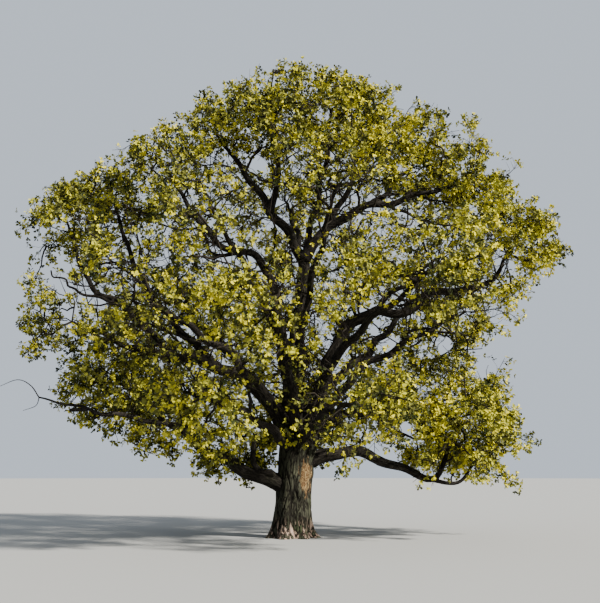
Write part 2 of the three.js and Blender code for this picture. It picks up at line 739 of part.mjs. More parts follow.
function meshOf(name, solid, colour) {
  const { numProp, vertProperties, triVerts } = solid.getMesh();
  const geometry = new THREE.BufferGeometry();
  geometry.setAttribute("position", new THREE.BufferAttribute(new Float32Array(vertProperties), numProp));
  geometry.setIndex(new THREE.BufferAttribute(new Uint32Array(triVerts), 1));
  geometry.computeVertexNormals();
  const material = new THREE.MeshStandardMaterial({ color: colour, roughness: 0.85, metalness: 0 });
  const mesh = new THREE.Mesh(geometry, material);
  mesh.name = name;
  return mesh;
}

const oak = new THREE.Group();
oak.name = "oak_tree";
let leafTone = 0;
solids.forEach((solid, name) => {
  const leafy = name.startsWith("leaves_");
  const colour = leafy ? leafColours[leafTone++ % leafColours.length] : barkColour;
  oak.add(meshOf(name, solid, colour));
});

export default oak;
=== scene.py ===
# An old field oak in spring leaf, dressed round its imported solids: a fluted trunk with fissured bark, long
# crooked boughs and a broad open crown of fine sprays. Everything is in metres, with +Z up.
import math

import bmesh
import bpy
import numpy as np
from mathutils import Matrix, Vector, noise


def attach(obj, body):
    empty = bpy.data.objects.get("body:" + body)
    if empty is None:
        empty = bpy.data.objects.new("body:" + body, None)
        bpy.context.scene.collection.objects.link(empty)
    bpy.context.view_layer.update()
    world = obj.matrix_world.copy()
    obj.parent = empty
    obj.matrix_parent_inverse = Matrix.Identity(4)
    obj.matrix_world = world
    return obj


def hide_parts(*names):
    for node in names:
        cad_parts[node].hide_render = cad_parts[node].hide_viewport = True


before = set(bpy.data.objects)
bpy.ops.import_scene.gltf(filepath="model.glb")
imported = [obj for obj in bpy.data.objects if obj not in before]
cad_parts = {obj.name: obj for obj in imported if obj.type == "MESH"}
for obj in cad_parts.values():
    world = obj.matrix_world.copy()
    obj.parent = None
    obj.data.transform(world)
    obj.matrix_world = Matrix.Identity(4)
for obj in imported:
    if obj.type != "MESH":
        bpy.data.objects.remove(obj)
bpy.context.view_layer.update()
up = Vector((0, 0, 1))
upward = np.array(up)
print("frame loaded:", len(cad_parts), "nodes")

cameraSetup = {"place": (0.4, -42.0, 3.1), "rise": 11.47, "lens": 50.15, "sensor": 36.0, "sight": 1000}
cameraData = bpy.data.cameras.new("camera")
cameraData.lens = cameraSetup["lens"]
cameraData.sensor_width = cameraSetup["sensor"]
cameraData.clip_end = cameraSetup["sight"]
camera = bpy.data.objects.new("camera", cameraData)
camera.location = cameraSetup["place"]
camera.rotation_euler = (math.radians(90 + cameraSetup["rise"]), 0, 0)
bpy.context.scene.collection.objects.link(camera)
bpy.context.scene.camera = camera


# One socket of a material, so that shader maths is written as plain sums.
class Wire:
    def __init__(self, finish, socket):
        self.finish = finish
        self.socket = socket

    def maths(self, operation, *values):
        sockets = dict(enumerate(values))
        return self.finish.node("ShaderNodeMath", {"operation": operation}, sockets)

    def __add__(self, other):
        return self.maths("ADD", self, other)

    def __radd__(self, other):
        return self.maths("ADD", other, self)

    def __sub__(self, other):
        return self.maths("SUBTRACT", self, other)

    def __rsub__(self, other):
        return self.maths("SUBTRACT", other, self)

    def __mul__(self, other):
        return self.maths("MULTIPLY", self, other)

    def __rmul__(self, other):
        return self.maths("MULTIPLY", other, self)

    def __abs__(self):
        return self.maths("ABSOLUTE", self)

    def between(self, low, high):
        sockets = {"Value": self, "From Min": low, "From Max": high}
        return self.finish.node("ShaderNodeMapRange", {"interpolation_type": "SMOOTHSTEP"}, sockets)


# A material and its nodes.
class Finish:
    def __init__(self, name):
        self.material = bpy.data.materials.new(name)
        self.material.use_nodes = True
        self.tree = self.material.node_tree
        self.tree.nodes.clear()

    def node(self, kind, settings=None, sockets=None, output=0):
        made = self.tree.nodes.new(kind)
        for key, value in (settings or {}).items():
            setattr(made, key, value)
        for key, value in (sockets or {}).items():
            if isinstance(value, Wire):
                self.tree.links.new(value.socket, made.inputs[key])
            else:
                made.inputs[key].default_value = value
        return Wire(self, made.outputs[output]) if made.outputs else made

    def mix(self, factor, first, second):
        settings = {"data_type": "RGBA", "blend_type": "MIX"}
        return self.node("ShaderNodeMix", settings, {0: factor, 6: rgba(first), 7: rgba(second)}, 2)

    def vector(self, operation, *values, output=0):
        sockets = dict(enumerate(values))
        return self.node("ShaderNodeVectorMath", {"operation": operation}, sockets, output)

    def noise(self, vector, scale, detail, output=0):
        sockets = {"Vector": vector, "Scale": scale, "Detail": detail}
        return self.node("ShaderNodeTexNoise", {}, sockets, output)

    def principled(self, colour, roughness, shine, normal=None):
        sockets = {"Base Color": rgba(colour), "Roughness": roughness, "Specular IOR Level": shine}
        if normal:
            sockets["Normal"] = normal
        return self.node("ShaderNodeBsdfPrincipled", {}, sockets)

    def surface(self, shader):
        self.node("ShaderNodeOutputMaterial", {}, {"Surface": shader})
        return self.material


def rgba(colour):
    return (*colour, 1) if isinstance(colour, tuple) and len(colour) == 3 else colour


# Bark: long fissures that run along the limb, plates between them, with lichen and a little green. Scales are
# for the trunk, and a pair is where a pattern begins and where it is full.
barkLook = {
    "bendScale": 1.3, "bend": 0.35, "ridgeScale": 7.5, "ridgeStretch": (1.0, 1.0, 0.16), "plates": (0.0, 0.11),
    "flakeScale": 30.0, "flakeStretch": (1.0, 1.0, 0.6), "patchScale": 1.1, "patches": (0.52, 0.68),
    "lichenFlakes": (0.4, 0.62), "lichen": 0.65, "greenScale": 0.7, "greenPatches": (0.5, 0.72), "green": 0.45,
    "furrowShade": 0.8, "plateHeight": 0.7, "flakeHeight": 0.3, "relief": 0.9, "reliefDepth": 0.03,
    "plateGloss": 0.18, "shine": 0.15,
}


def barkFinish(name, colours, scale, scars=None):
    look = barkLook
    bark = Finish(name)
    grain = bark.node("ShaderNodeAttribute", {"attribute_name": "grain"}, {}, 1)
    bend = bark.noise(grain, look["bendScale"] * scale, 2.0, 1)
    warp = bark.node("ShaderNodeVectorMath", {"operation": "SCALE"}, {0: bend, "Scale": look["bend"] / scale})
    warped = bark.vector("ADD", grain, warp)
    ridge = bark.noise(bark.vector("MULTIPLY", warped, look["ridgeStretch"]), look["ridgeScale"] * scale, 3.0)
    plates = abs(ridge - 0.5).between(*look["plates"])
    flakes = bark.noise(bark.vector("MULTIPLY", warped, look["flakeStretch"]), look["flakeScale"] * scale, 4.0)
    place = bark.node("ShaderNodeTexCoord", {}, {}, 3)
    patches = bark.noise(place, look["patchScale"], 5.0).between(*look["patches"])
    lichen = patches * flakes.between(*look["lichenFlakes"])
    green = bark.noise(place, look["greenScale"], 3.0).between(*look["greenPatches"])
    wood = bark.mix(flakes, colours["dark"], colours["plate"])
    wood = bark.mix(lichen * look["lichen"], wood, colours["lichen"])
    wood = bark.mix(green * look["green"], wood, colours["moss"])
    # The fissures between plates and the relief's furrows are coloured near black: partly the bark's own darker
    # colour there, partly painted shade in the recesses.
    cut = bark.node("ShaderNodeAttribute", {"attribute_name": "furrowShade"}, {}, 2)
    wood = bark.mix(plates * (1.0 - cut * look["furrowShade"]), colours["furrowShade"], wood)
    if scars:
        wood = scarred(bark, scars, wood, place, ridge, flakes)
    height = plates * look["plateHeight"] + flakes * look["flakeHeight"]
    relief = {"Height": height, "Strength": look["relief"], "Distance": look["reliefDepth"] / scale}
    bump = bark.node("ShaderNodeBump", {}, relief)
    return bark.surface(bark.principled(wood, 1.0 - plates * look["plateGloss"], look["shine"], bump))


# Where the bark came off: one patch of bare wood. Round the foot, pale streaks on the plates: partly pale bark,
# partly painted sunlight.
def scarred(bark, scars, wood, place, ridge, flakes):
    offset = bark.vector("MULTIPLY", bark.vector("SUBTRACT", place, scars["middle"]), scars["shrink"])
    away = bark.vector("LENGTH", offset, output=1)
    patch = 1.0 - (away + (ridge - 0.5) * scars["ragged"]).between(*scars["edge"])
    bare = bark.mix((flakes * 0.6 + ridge * 0.4).between(*scars["grain"]), scars["wood"], scars["paleWood"])
    wood = bark.mix(patch, wood, bare)
    # Pale streaks low on the trunk: partly pale bark, partly painted sunlight.
    height = bark.node("ShaderNodeSeparateXYZ", {}, {0: place}, 2)
    low = 1.0 - height.between(*scars["streaks"])
    streaks = ridge.between(*scars["streakRidges"]) * flakes.between(*scars["streakFlakes"])
    return bark.mix(streaks * low, wood, scars["streak"])


# Young leaves are thin, with little gloss, and let some light through.
def leafFinish(name, colour, throughColour, look):
    leaf = Finish(name)
    face = leaf.principled(colour, look["roughness"], look["shine"])
    lit = leaf.node("ShaderNodeBsdfTranslucent", {}, {"Color": rgba(throughColour)})
    return leaf.surface(leaf.node("ShaderNodeMixShader", {}, {0: look["through"], 1: face, 2: lit}))


# The furrow colours are near black: partly the bark's own colour in its fissures, partly painted shade.
trunkColours = {
    "dark": (0.013, 0.012, 0.008), "plate": (0.046, 0.048, 0.028), "furrowShade": (0.003, 0.002, 0.001),
    "lichen": (0.11, 0.11, 0.065), "moss": (0.026, 0.042, 0.009),
}
trunkScars = {
    "middle": (0.72, -0.72, 2.85), "shrink": (2.7, 1.6, 1.1), "wood": (0.05, 0.023, 0.007),
    "paleWood": (0.2, 0.14, 0.066), "streaks": (0.25, 1.1), "streak": (0.3, 0.21, 0.16),
    "ragged": 2.2, "edge": (0.7, 0.95), "grain": (0.44, 0.58), "streakRidges": (0.5, 0.6),
    "streakFlakes": (0.3, 0.55),
}
# The boughs' bark is a darker copy of the trunk's: partly their own darker bark, partly painted shade, for
# boughs that stand in the crown's shade.
shadedBoughColours = {
    "dark": (0.01, 0.008, 0.006), "plate": (0.027, 0.022, 0.016), "furrowShade": (0.004, 0.003, 0.002),
    "lichen": (0.06, 0.055, 0.042), "moss": (0.019, 0.021, 0.009),
}
deadColours = {
    "dark": (0.022, 0.018, 0.015), "plate": (0.06, 0.052, 0.044), "furrowShade": (0.008, 0.006, 0.005),
    "lichen": (0.11, 0.105, 0.09), "moss": (0.04, 0.04, 0.028),
}
trunkBark = barkFinish("trunk bark", trunkColours, 1.0, trunkScars)
shadedBoughBark = barkFinish("shaded bough bark", shadedBoughColours, 1.5)
deadWood = barkFinish("dead wood", deadColours, 3.0)


# Twigs are smooth, with darker and paler lengths. Both are near black: partly the twigs' own dark bark, partly
# painted shade for twigs that stand in shade.
shadedTwigLook = {
    "dark": (0.008, 0.006, 0.004), "pale": (0.02, 0.016, 0.011), "scale": 2.5, "lengths": (0.35, 0.65),
    "roughness": 0.9, "paleGloss": 0.2, "shine": 0.1,
}


def twigFinish(name, look):
    twig = Finish(name)
    place = twig.node("ShaderNodeTexCoord", {}, {}, 3)
    mottle = twig.noise(place, look["scale"], 3.0)
    colour = twig.mix(mottle.between(*look["lengths"]), look["dark"], look["pale"])
    return twig.surface(twig.principled(colour, look["roughness"] - mottle * look["paleGloss"], look["shine"]))


shadedTwigBark = twigFinish("shaded twig bark", shadedTwigLook)


# The same sizes as the solids have.
trunkForm = {
    "height": 5.5, "lean": 0.42, "waist": 0.85,
    "flare": {"size": 0.36, "height": 0.5},
    "forkSwell": {"size": 0.1, "at": 4.5, "height": 0.9},
    "shoulder": {"from": 4.9, "narrowing": 0.42},
    "buttresses": {"count": 7, "depth": 0.15, "height": 0.9, "turn": 0.6},
    "flutes": {"count": 3, "depth": 0.04},
    "stations": 10,
}

# A bough leaves its parent at a share of its length, bends at its knees and ends in its mass of leaves.
# name: (parent, share, foot radius, seed, middle of the leaves, reach of the leaves, knees)
boughForms = {
    "left_crest": ("trunk", 0.8, 0.46, 1, (-4.4, 1.5, 21.6), 3.1,
        [(0.3, 0.1, 9.1), (0.5, 0.2, 13.8), (-1.1, 0.8, 16.6), (-2.6, 1.2, 19.0)]),
    "left_mid": ("trunk", 0.86, 0.4, 32, (-10.9, -1.0, 10.4), 3.1,
        [(-1.8, -0.4, 7.2), (-4.3, -0.8, 8.4), (-7.5, -1.0, 9.0)]),
    "far_right_high": ("trunk", 0.86, 0.4, 3, (11.7, 0.5, 14.9), 3.1,
        [(2.3, 0.0, 9.5), (4.1, 0.1, 11.1), (5.4, 0.2, 11.0), (7.3, 0.3, 12.1), (10.1, 0.5, 12.7)]),
    "left_low": ("trunk", 0.44, 0.38, 4, (-7.9, -2.0, 7.0), 3.3, [(-2.3, -0.8, 3.2), (-4.6, -1.5, 4.5)]),
    "right_low": ("trunk", 0.64, 0.34, 5, (8.1, 0.0, 5.4), 2.9,
        [(2.7, 0.0, 4.1), (4.6, 0.0, 3.6), (7.0, 0.0, 2.9)]),
    "left_shoulder": ("trunk", 0.88, 0.3, 6, (-6.5, -1.5, 18.3), 3.1,
        [(-0.7, 0.3, 10.6), (-1.6, -0.1, 13.7), (-4.0, -0.8, 14.7)]),
    "right_mid": ("trunk", 0.84, 0.28, 7, (8.5, -1.5, 10.8), 2.9, [(3.1, -0.4, 7.8), (5.2, -0.9, 9.1)]),
    "right_high": ("left_crest", 0.5, 0.28, 8, (9.1, -1.0, 17.7), 2.8,
        [(1.4, -0.2, 15.0), (3.1, -0.5, 16.2), (6.0, -0.8, 16.9)]),
    "left_high": ("left_mid", 0.4, 0.22, 9, (-9.9, 2.0, 17.8), 2.8, [(-6.6, 0.6, 11.2), (-8.3, 1.4, 13.7)]),
    "far_left_high": ("left_mid", 0.58, 0.19, 10, (-11.7, 0.0, 15.8), 2.8,
        [(-8.5, -0.7, 11.3), (-10.3, -0.4, 12.5)]),
    "right_crest": ("left_crest", 0.46, 0.2, 11, (2.1, 1.6, 22.8), 3.1, [(0.9, 1.0, 15.6), (1.6, 1.6, 18.8)]),
    "mid_crest": ("left_crest", 0.68, 0.17, 12, (-1.1, -1.0, 21.9), 2.9, [(-0.8, -0.2, 17.9)]),
    "right_shoulder": ("right_high", 0.22, 0.17, 13, (4.7, -1.5, 20.0), 3.1, [(2.8, -1.0, 17.2)]),
    "right_knoll": ("right_high", 0.5, 0.14, 14, (7.7, 1.6, 20.9), 2.4, [(5.7, 1.0, 18.6)]),
    "front_left_low": ("trunk", 0.76, 0.25, 15, (-3.4, -8.0, 6.1), 3.2, [(-1.7, -3.9, 5.5)]),
    "front_right_low": ("trunk", 0.84, 0.25, 16, (2.6, -8.6, 5.8), 3.1, [(1.5, -4.2, 5.6)]),
    "right_arch": ("trunk", 0.84, 0.2, 17, (6.4, 1.8, 4.7), 2.1, [(2.7, 0.9, 6.0), (4.2, 1.2, 5.7)]),
    "front_mid": ("trunk", 0.88, 0.27, 18, (-0.7, -10.1, 9.6), 3.2, [(-0.2, -4.6, 8.3)]),
    "front_left_mid": ("trunk", 0.86, 0.27, 19, (-6.6, -7.0, 10.6), 3.4, [(-2.6, -3.0, 8.2)]),
    "front_right_mid": ("trunk", 0.86, 0.27, 20, (6.1, -7.2, 11.6), 3.4, [(2.3, -3.2, 8.6)]),
    "front_left_high": ("left_shoulder", 0.28, 0.2, 21, (-3.6, -6.0, 14.8), 3.1, [(-1.9, -2.6, 12.0)]),
    "front_right_high": ("left_crest", 0.26, 0.2, 22, (2.0, -6.4, 15.3), 3.2, [(1.1, -2.8, 12.6)]),
    "back_left_low": ("trunk", 0.82, 0.26, 23, (-6.8, 6.8, 7.8), 3.4, [(-3.0, 3.2, 6.4)]),
    "back_low": ("trunk", 0.86, 0.26, 24, (-0.3, 9.6, 7.9), 3.4, [(0.3, 4.4, 6.8)]),
    "back_right_low": ("trunk", 0.8, 0.26, 25, (6.2, 6.8, 7.4), 3.4, [(3.2, 3.1, 6.3)]),
    "back_left_mid": ("trunk", 0.87, 0.29, 26, (-8.2, 7.2, 14.2), 3.6, [(-2.9, 2.6, 8.8), (-5.6, 5.0, 11.6)]),
    "back_mid": ("trunk", 0.88, 0.29, 27, (-1.2, 10.6, 13.6), 3.6, [(-0.5, 4.2, 9.8)]),
    "back_right_mid": ("far_right_high", 0.14, 0.26, 28, (7.6, 7.4, 13.8), 3.6, [(4.4, 3.0, 9.8)]),
    "back_high": ("left_crest", 0.34, 0.24, 29, (-0.4, 7.0, 19.2), 3.7, [(0.5, 3.2, 14.8)]),
}
limbForm = {
    "tip": 0.032, "taper": 0.8, "collar": {"size": 0.3, "length": 1.5}, "entry": 0.7, "step": 0.35,
    "crook": {"size": 0.11, "side": 3.3, "rise": 2.4, "fullLength": 6}, "startShift": 0.5, "ringStep": 1.5,
    "seed": 11,
}
sampling = {"candidates": 12, "tries": 300, "step": 0.2, "seedStep": 104729, "routeSteps": 200}


# A plain generator of even numbers from 0 to 1, the same on every run.
def seeded(seed):
    state = seed

    def draw():
        nonlocal state
        state = state * 16807 % 2147483647
        return state / 2147483647

    return draw


# A smooth line through the points, by even steps of its length, with a crooked sway that fades at both ends.
class Route:
    def __init__(self, points, seed):
        points = [np.array(p, float) for p in points]
        self.ends = [2 * points[0] - points[1], *points, 2 * points[-1] - points[-2]]
        self.shares = np.linspace(0, 1, sampling["routeSteps"] + 1)
        drawn = np.array([self.smooth(share) for share in self.shares])
        self.reach = np.concatenate([[0], np.cumsum(np.linalg.norm(np.diff(drawn, axis=0), axis=1))])
        self.length = self.reach[-1]
        random = seeded(seed)
        self.phases = (random(), random())
        chord = Vector(points[-1] - points[0])
        side = chord.cross(up).normalized()
        self.side = np.array(side)
        self.rise = np.array(side.cross(chord).normalized())
        steps = math.ceil(self.length / limbForm["step"])
        self.line = [self.at(i / steps) for i in range(steps + 1)]
        self.walked = float(sum(np.linalg.norm(np.diff(np.array(self.line), axis=0), axis=1)))

    def smooth(self, share):
        spans = len(self.ends) - 3
        index = min(int(share * spans), spans - 1)
        t = share * spans - index
        before, start, end, after = self.ends[index:index + 4]
        leave = 0.5 * (end - before)
        arrive = 0.5 * (after - start)
        return (start + leave * t + (3 * (end - start) - 2 * leave - arrive) * t ** 2
                + (2 * (start - end) + leave + arrive) * t ** 3)

    def at(self, share):
        crook = limbForm["crook"]
        size = crook["size"] * min(1, self.length / crook["fullLength"])
        fade = math.sin(math.pi * share) * size
        sway = math.sin(2 * math.pi * (share * self.length / crook["side"] + self.phases[0]))
        heave = math.sin(2 * math.pi * (share * self.length / crook["rise"] + self.phases[1]))
        point = self.smooth(float(np.interp(share * self.length, self.reach, self.shares)))
        return point + self.side * sway * fade + self.rise * heave * fade


def farApart(a, b):
    return float(np.linalg.norm(b - a))


def unit(vectors):
    return vectors / np.maximum(np.linalg.norm(vectors, axis=-1, keepdims=True), 1e-9)


# The point and direction at a distance along a line of points.
def walk(line, distance):
    left = distance
    for i in range(1, len(line)):
        step = line[i] - line[i - 1]
        span = farApart(line[i - 1], line[i])
        if left <= span or i == len(line) - 1:
            return line[i - 1] + step / span * left, step / span
        left -= span


def pointsOn(line, marks):
    return [walk(line, float(mark))[0] for mark in marks]


# The rows' first values as one array, their second ones as another, and so on.
def columns(rows):
    return (np.array(column) for column in zip(*rows))


def fadeOut(distance, size):
    return math.exp(-distance / size)


def trunkRadius(z, angle):
    flare, swell = trunkForm["flare"], trunkForm["forkSwell"]
    shoulder, roots, flutes = trunkForm["shoulder"], trunkForm["buttresses"], trunkForm["flutes"]
    fork = swell["size"] * math.exp(-((z - swell["at"]) / swell["height"]) ** 2)
    share = max(0, (z - shoulder["from"]) / (trunkForm["height"] - shoulder["from"]))
    radius = trunkForm["waist"] + flare["size"] * fadeOut(z, flare["height"]) + fork
    radius -= shoulder["narrowing"] * share ** 2
    ridges = math.cos(roots["count"] * angle + roots["turn"])
    lobes = roots["depth"] * fadeOut(z, roots["height"]) * ridges
    return radius * (1 + (lobes + flutes["depth"] * math.cos(flutes["count"] * angle)))


def trunkAxis(z):
    return np.array([trunkForm["lean"] * (z / trunkForm["height"]) ** 2, 0, z])


# A limb tapers from its foot to its tip, with a swollen collar where it comes out of its parent.
def limbRadius(foot, tip, end, buried):
    def radiusAt(distance):
        share = min(1, distance / end)
        collar = limbForm["collar"]
        fading = collar["size"] * foot * fadeOut(max(0, distance - buried), collar["length"] * foot)
        return tip + (foot - tip) * (1 - share) ** limbForm["taper"] + fading * (1 - share)
    return radiusAt


massForm = {"flatness": 0.86, "cellGap": 0.05, "lowestLeaf": 0.6}
masses = {name: (np.array(form[4]), form[5]) for name, form in boughForms.items()}


def flatDistance(points, middle):
    gap = (np.asarray(points) - middle) / (1, 1, massForm["flatness"])
    return np.linalg.norm(gap, axis=-1)


# Points that keep that far inside a mass's own ball and on its own side of every plane to a neighbour.
def inMass(points, own, margin):
    middle, reach = masses[own]
    points = np.atleast_2d(points)
    distance = flatDistance(points, middle)
    kept = (distance <= reach - margin) & (points[:, 2] >= massForm["lowestLeaf"])
    for name, (otherMiddle, otherReach) in masses.items():
        apart = float(flatDistance(middle, otherMiddle))
        if name == own or apart > reach + otherReach:
            continue
        lead = flatDistance(points, otherMiddle) ** 2 - otherReach ** 2 - distance ** 2 + reach ** 2
        kept &= lead > 2 * apart * (margin + massForm["cellGap"])
    return kept


# Where the sky shows through the crown from the open side: places in the trunk's plane and their radii, by the
# share of the shoots that stays in front of them and behind. Those with the least shape the crown's edge.
skyPlaces = {
    0.0: [(6.0, 22.4, 0.65)],
    0.02: [(-11.8, 12.5, 0.9), (-10.6, 12.1, 0.85)],
    0.03: [(-10.8, 19.2, 0.7), (10.2, 20.9, 0.6), (14.5, 14.8, 0.4), (2.9, 24.9, 0.6), (10.2, 21.7, 0.5)],
    0.04: [(-2.8, 24.4, 0.7)],
    0.05: [
        (-7.8, 21.4, 0.8), (-9.0, 20.1, 0.6), (11.7, 18.7, 0.65), (13.2, 16.9, 0.55), (11.0, 13.5, 0.6),
        (-12.0, 13.6, 0.5), (-8.8, 20.9, 0.6), (-5.2, 23.6, 0.5), (6.3, 23.0, 0.65), (12.4, 17.6, 0.6),
        (-11.7, 18.8, 0.6)],
    0.1: [
        (-5.9, 22.8, 0.65), (14.1, 15.0, 0.5), (9.6, 8.1, 0.6), (-1.4, 24.8, 0.6), (-13.1, 14.3, 0.5),
        (-9.7, 11.6, 0.55), (-5.4, 17.2, 0.65), (-4.2, 19.4, 0.5), (-1.6, 19.1, 0.65), (-1.2, 15.8, 0.5),
        (10.6, 13.9, 0.6), (-6.1, 22.2, 0.5), (10.7, 19.0, 0.7), (-2.0, 19.0, 0.6), (10.3, 10.8, 0.6),
        (8.9, 11.0, 0.5)],
    0.12: [(-6.7, 14.0, 0.6)],
    0.15: [
        (-11.2, 11.0, 0.8), (4.2, 16.9, 0.5), (-1.8, 6.8, 0.5), (5.7, 5.2, 0.55), (7.6, 9.4, 0.65),
        (10.4, 8.6, 0.5), (-8.0, 12.5, 0.5), (-0.4, 15.7, 0.7), (-3.5, 14.0, 0.6), (10.2, 8.2, 0.6)],
    0.2: [
        (8.9, 10.8, 0.45), (-7.3, 13.5, 0.5), (2.9, 17.2, 0.55), (5.4, 16.9, 0.5), (4.2, 11.1, 0.45),
        (5.1, 10.9, 0.55), (-3.6, 14.4, 0.6), (10.2, 11.2, 0.7), (8.8, 10.9, 0.6), (11.1, 13.1, 0.6),
        (-12.9, 7.8, 0.7), (1.3, 10.8, 0.6), (5.8, 11.0, 0.4), (-8.2, 12.4, 0.6)],
    0.25: [
        (10.1, 15.0, 0.5), (0.9, 11.0, 0.6), (6.6, 7.1, 0.5), (-2.0, 21.7, 0.5), (-0.3, 21.9, 0.5),
        (8.5, 20.8, 0.5), (9.3, 20.3, 0.5), (5.9, 16.1, 0.5), (-3.5, 13.8, 0.6), (2.8, 19.0, 0.6)],
    0.3: [
        (-0.3, 16.9, 0.5), (0.6, 18.6, 0.5), (6.2, 15.6, 0.4), (-8.2, 14.6, 0.6), (-2.7, 13.7, 0.5),
        (-2.4, 16.8, 0.5), (-0.3, 12.4, 0.6), (-0.2, 14.3, 0.4), (-7.4, 14.5, 0.45), (1.2, 21.7, 0.6),
        (3.6, 8.7, 0.4), (-1.3, 7.2, 0.4), (-5.3, 7.3, 0.35), (7.4, 20.9, 0.6), (2.8, 17.3, 0.6),
        (-0.3, 16.4, 0.5), (4.6, 15.7, 0.55), (-2.4, 13.6, 0.6), (0.3, 13.8, 0.5), (-9.5, 13.5, 0.7),
        (-0.3, 11.9, 0.6), (3.6, 8.8, 0.45), (1.2, 19.1, 0.5), (1.2, 10.7, 0.5), (-5.1, 19.1, 0.6),
        (-6.5, 19.0, 0.4)],
    0.35: [
        (3.4, 15.8, 0.4), (-8.9, 12.7, 0.65), (-3.7, 19.2, 0.6), (4.4, 17.7, 0.6), (-8.4, 12.3, 0.5),
        (-12.8, 14.6, 0.6), (4.4, 19.0, 0.5), (2.1, 15.9, 0.5)],
    0.4: [
        (-9.1, 16.4, 0.6), (2.0, 17.6, 0.4), (2.2, 11.7, 0.45), (-5.9, 10.2, 0.4), (2.5, 18.9, 0.5),
        (-2.0, 19.1, 0.9), (-0.4, 17.1, 0.7), (1.3, 10.8, 0.8), (-9.7, 15.7, 0.5), (5.6, 12.0, 0.6)],
    0.45: [(7.9, 19.2, 0.5), (7.1, 13.3, 0.6)],
    0.5: [
        (8.2, 15.1, 0.45), (-3.6, 18.2, 0.5), (-6.3, 8.3, 0.45), (-10.6, 15.3, 0.6), (9.4, 18.9, 0.5),
        (-12.0, 15.6, 0.7), (-3.1, 17.0, 2.4), (3.3, 17.2, 2.2)],
    0.6: [(-0.6, 12.9, 1.2), (4.4, 10.8, 1.1)],
    0.65: [(-8.6, 14.4, 1.3)],
}
skyWindows = np.array([(*row, share) for share, places in skyPlaces.items() for row in places])
windowEdge = {"inner": 0.5, "wood": 0.7, "uneven": 0.35, "waves": (5.1, 3, 2.3, 6.7), "clear": 0.16}
eye = np.array(cameraSetup["place"])


# Where the line of sight from the eye through each point meets the plane of the trunk.
def seenAt(points):
    points = np.atleast_2d(points)
    share = -eye[1] / (points[:, 1] - eye[1])
    return (eye + (points - eye) * share[:, None])[:, [0, 2]]


# Distances to the windows as shares of their radii. Their edges are uneven.
def windowGaps(points):
    seen = seenAt(points)
    across, bend, rise, fall = windowEdge["waves"]
    waves = np.sin(seen[:, 0] * across + bend * np.sin(seen[:, 1] * rise)) * np.sin(seen[:, 1] * fall)
    gaps = np.linalg.norm(seen[:, None] - skyWindows[None, :, :2], axis=2)
    return gaps / (skyWindows[:, 2] * (1 + windowEdge["uneven"] * waves[:, None]))


# The share of what would grow at each point that the windows leave there.
def windowShare(points):
    edge = np.clip((windowGaps(points) - windowEdge["inner"]) / (1 - windowEdge["inner"]), 0, 1) ** 2
    return (skyWindows[:, 3] + (1 - skyWindows[:, 3]) * edge).min(axis=1)


def awayFromWindows(points):
    return (windowGaps(points)[:, skyWindows[:, 3] < windowEdge["clear"]] > windowEdge["wood"]).all(axis=1)


# Every limb by name: its route, where its wood ends, its radius along it and the radius of its tip.
limbs = {}
trunkLine = [trunkAxis(trunkForm["height"] * i / trunkForm["stations"])
             for i in range(trunkForm["stations"] + 1)]


def parentOf(name):
    if name == "trunk":
        length = sum(farApart(a, b) for a, b in zip(trunkLine, trunkLine[1:]))
        return trunkLine, length, lambda z: trunkRadius(z, 0)
    limb = limbs[name]
    return limb["route"].line, limb["route"].walked, limb["radiusAt"]


# A limb starts inside its parent, off the middle line on the side that it leaves from.
def startOf(parentName, at, towards, foot):
    line, length, radiusAt = parentOf(parentName)
    point, _ = walk(line, at * length)
    buried = radiusAt(at * length)
    if parentName != "trunk":
        return point, buried
    outward = (np.array(towards) - point) * (1, 1, 0)
    point = point + outward / np.linalg.norm(outward) * max(0, buried - foot) * limbForm["startShift"]
    return point, foot + (buried - foot) * (1 - limbForm["startShift"])


def entryOf(line, own):
    middle, reach = masses[own]
    distance = 0
    for before, point in zip(line, line[1:]):
        distance += farApart(before, point)
        near = flatDistance(point, middle) < limbForm["entry"] * reach
        if near and inMass(point, own, massForm["cellGap"])[0]:
            break
    return distance + limbForm["step"] / 3


for index, (name, form) in enumerate(boughForms.items()):
    parent, at, foot, seed, mass, reach, knees = form
    start, buried = startOf(parent, at, knees[0], foot)
    route = Route([start, *knees, mass], limbForm["seed"] + index)
    end = entryOf(route.line, name)
    tip = limbForm["tip"] * reach
    limbs[name] = {"route": route, "end": end, "tip": tip, "radiusAt": limbRadius(foot, tip, end, buried)}
print("limbs laid out:", len(limbs))


# Objects stay at the origin, and a piece's place is in its mesh.
def keepPiece(name, mesh, material, nodes):
    mesh.materials.append(material)
    piece = bpy.data.objects.new(name, mesh)
    bpy.context.scene.collection.objects.link(piece)
    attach(piece, "root")
    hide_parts(*nodes)


# A closed tube with many rings, still straight and one high: its vertices are placed afterwards.
def straightTube(sides, rings):
    shape = bmesh.new()
    bmesh.ops.create_cone(shape, cap_ends=True, cap_tris=False, segments=sides, radius1=1, radius2=1, depth=1)
    upright = [e for e in shape.edges if abs(e.verts[0].co.z - e.verts[1].co.z) > 0.5]
    bmesh.ops.subdivide_edges(shape, edges=upright, cuts=rings - 1, use_grid_fill=True)
    return shape


# The shape as a smooth mesh. The shape itself is freed.
def smoothMesh(name, shape):
    mesh = bpy.data.meshes.new(name)
    shape.to_mesh(mesh)
    shape.free()
    mesh.shade_smooth()
    return mesh


# Places every vertex by its share of the height and its angle. What the surface finds there is the place, the
# point that the grain is drawn by, and how deep in a furrow it lies, which darkens the bark there as painted
# shade.
def wrapped(name, shape, surface):
    grain = shape.verts.layers.float_vector.new("grain")
    furrowShade = shape.verts.layers.float.new("furrowShade")
    for vertex in shape.verts:
        share = vertex.co.z + 0.5
        angle = math.atan2(vertex.co.y, vertex.co.x)
        vertex.co, vertex[grain], vertex[furrowShade] = surface(share, angle)
    return smoothMesh(name, shape)


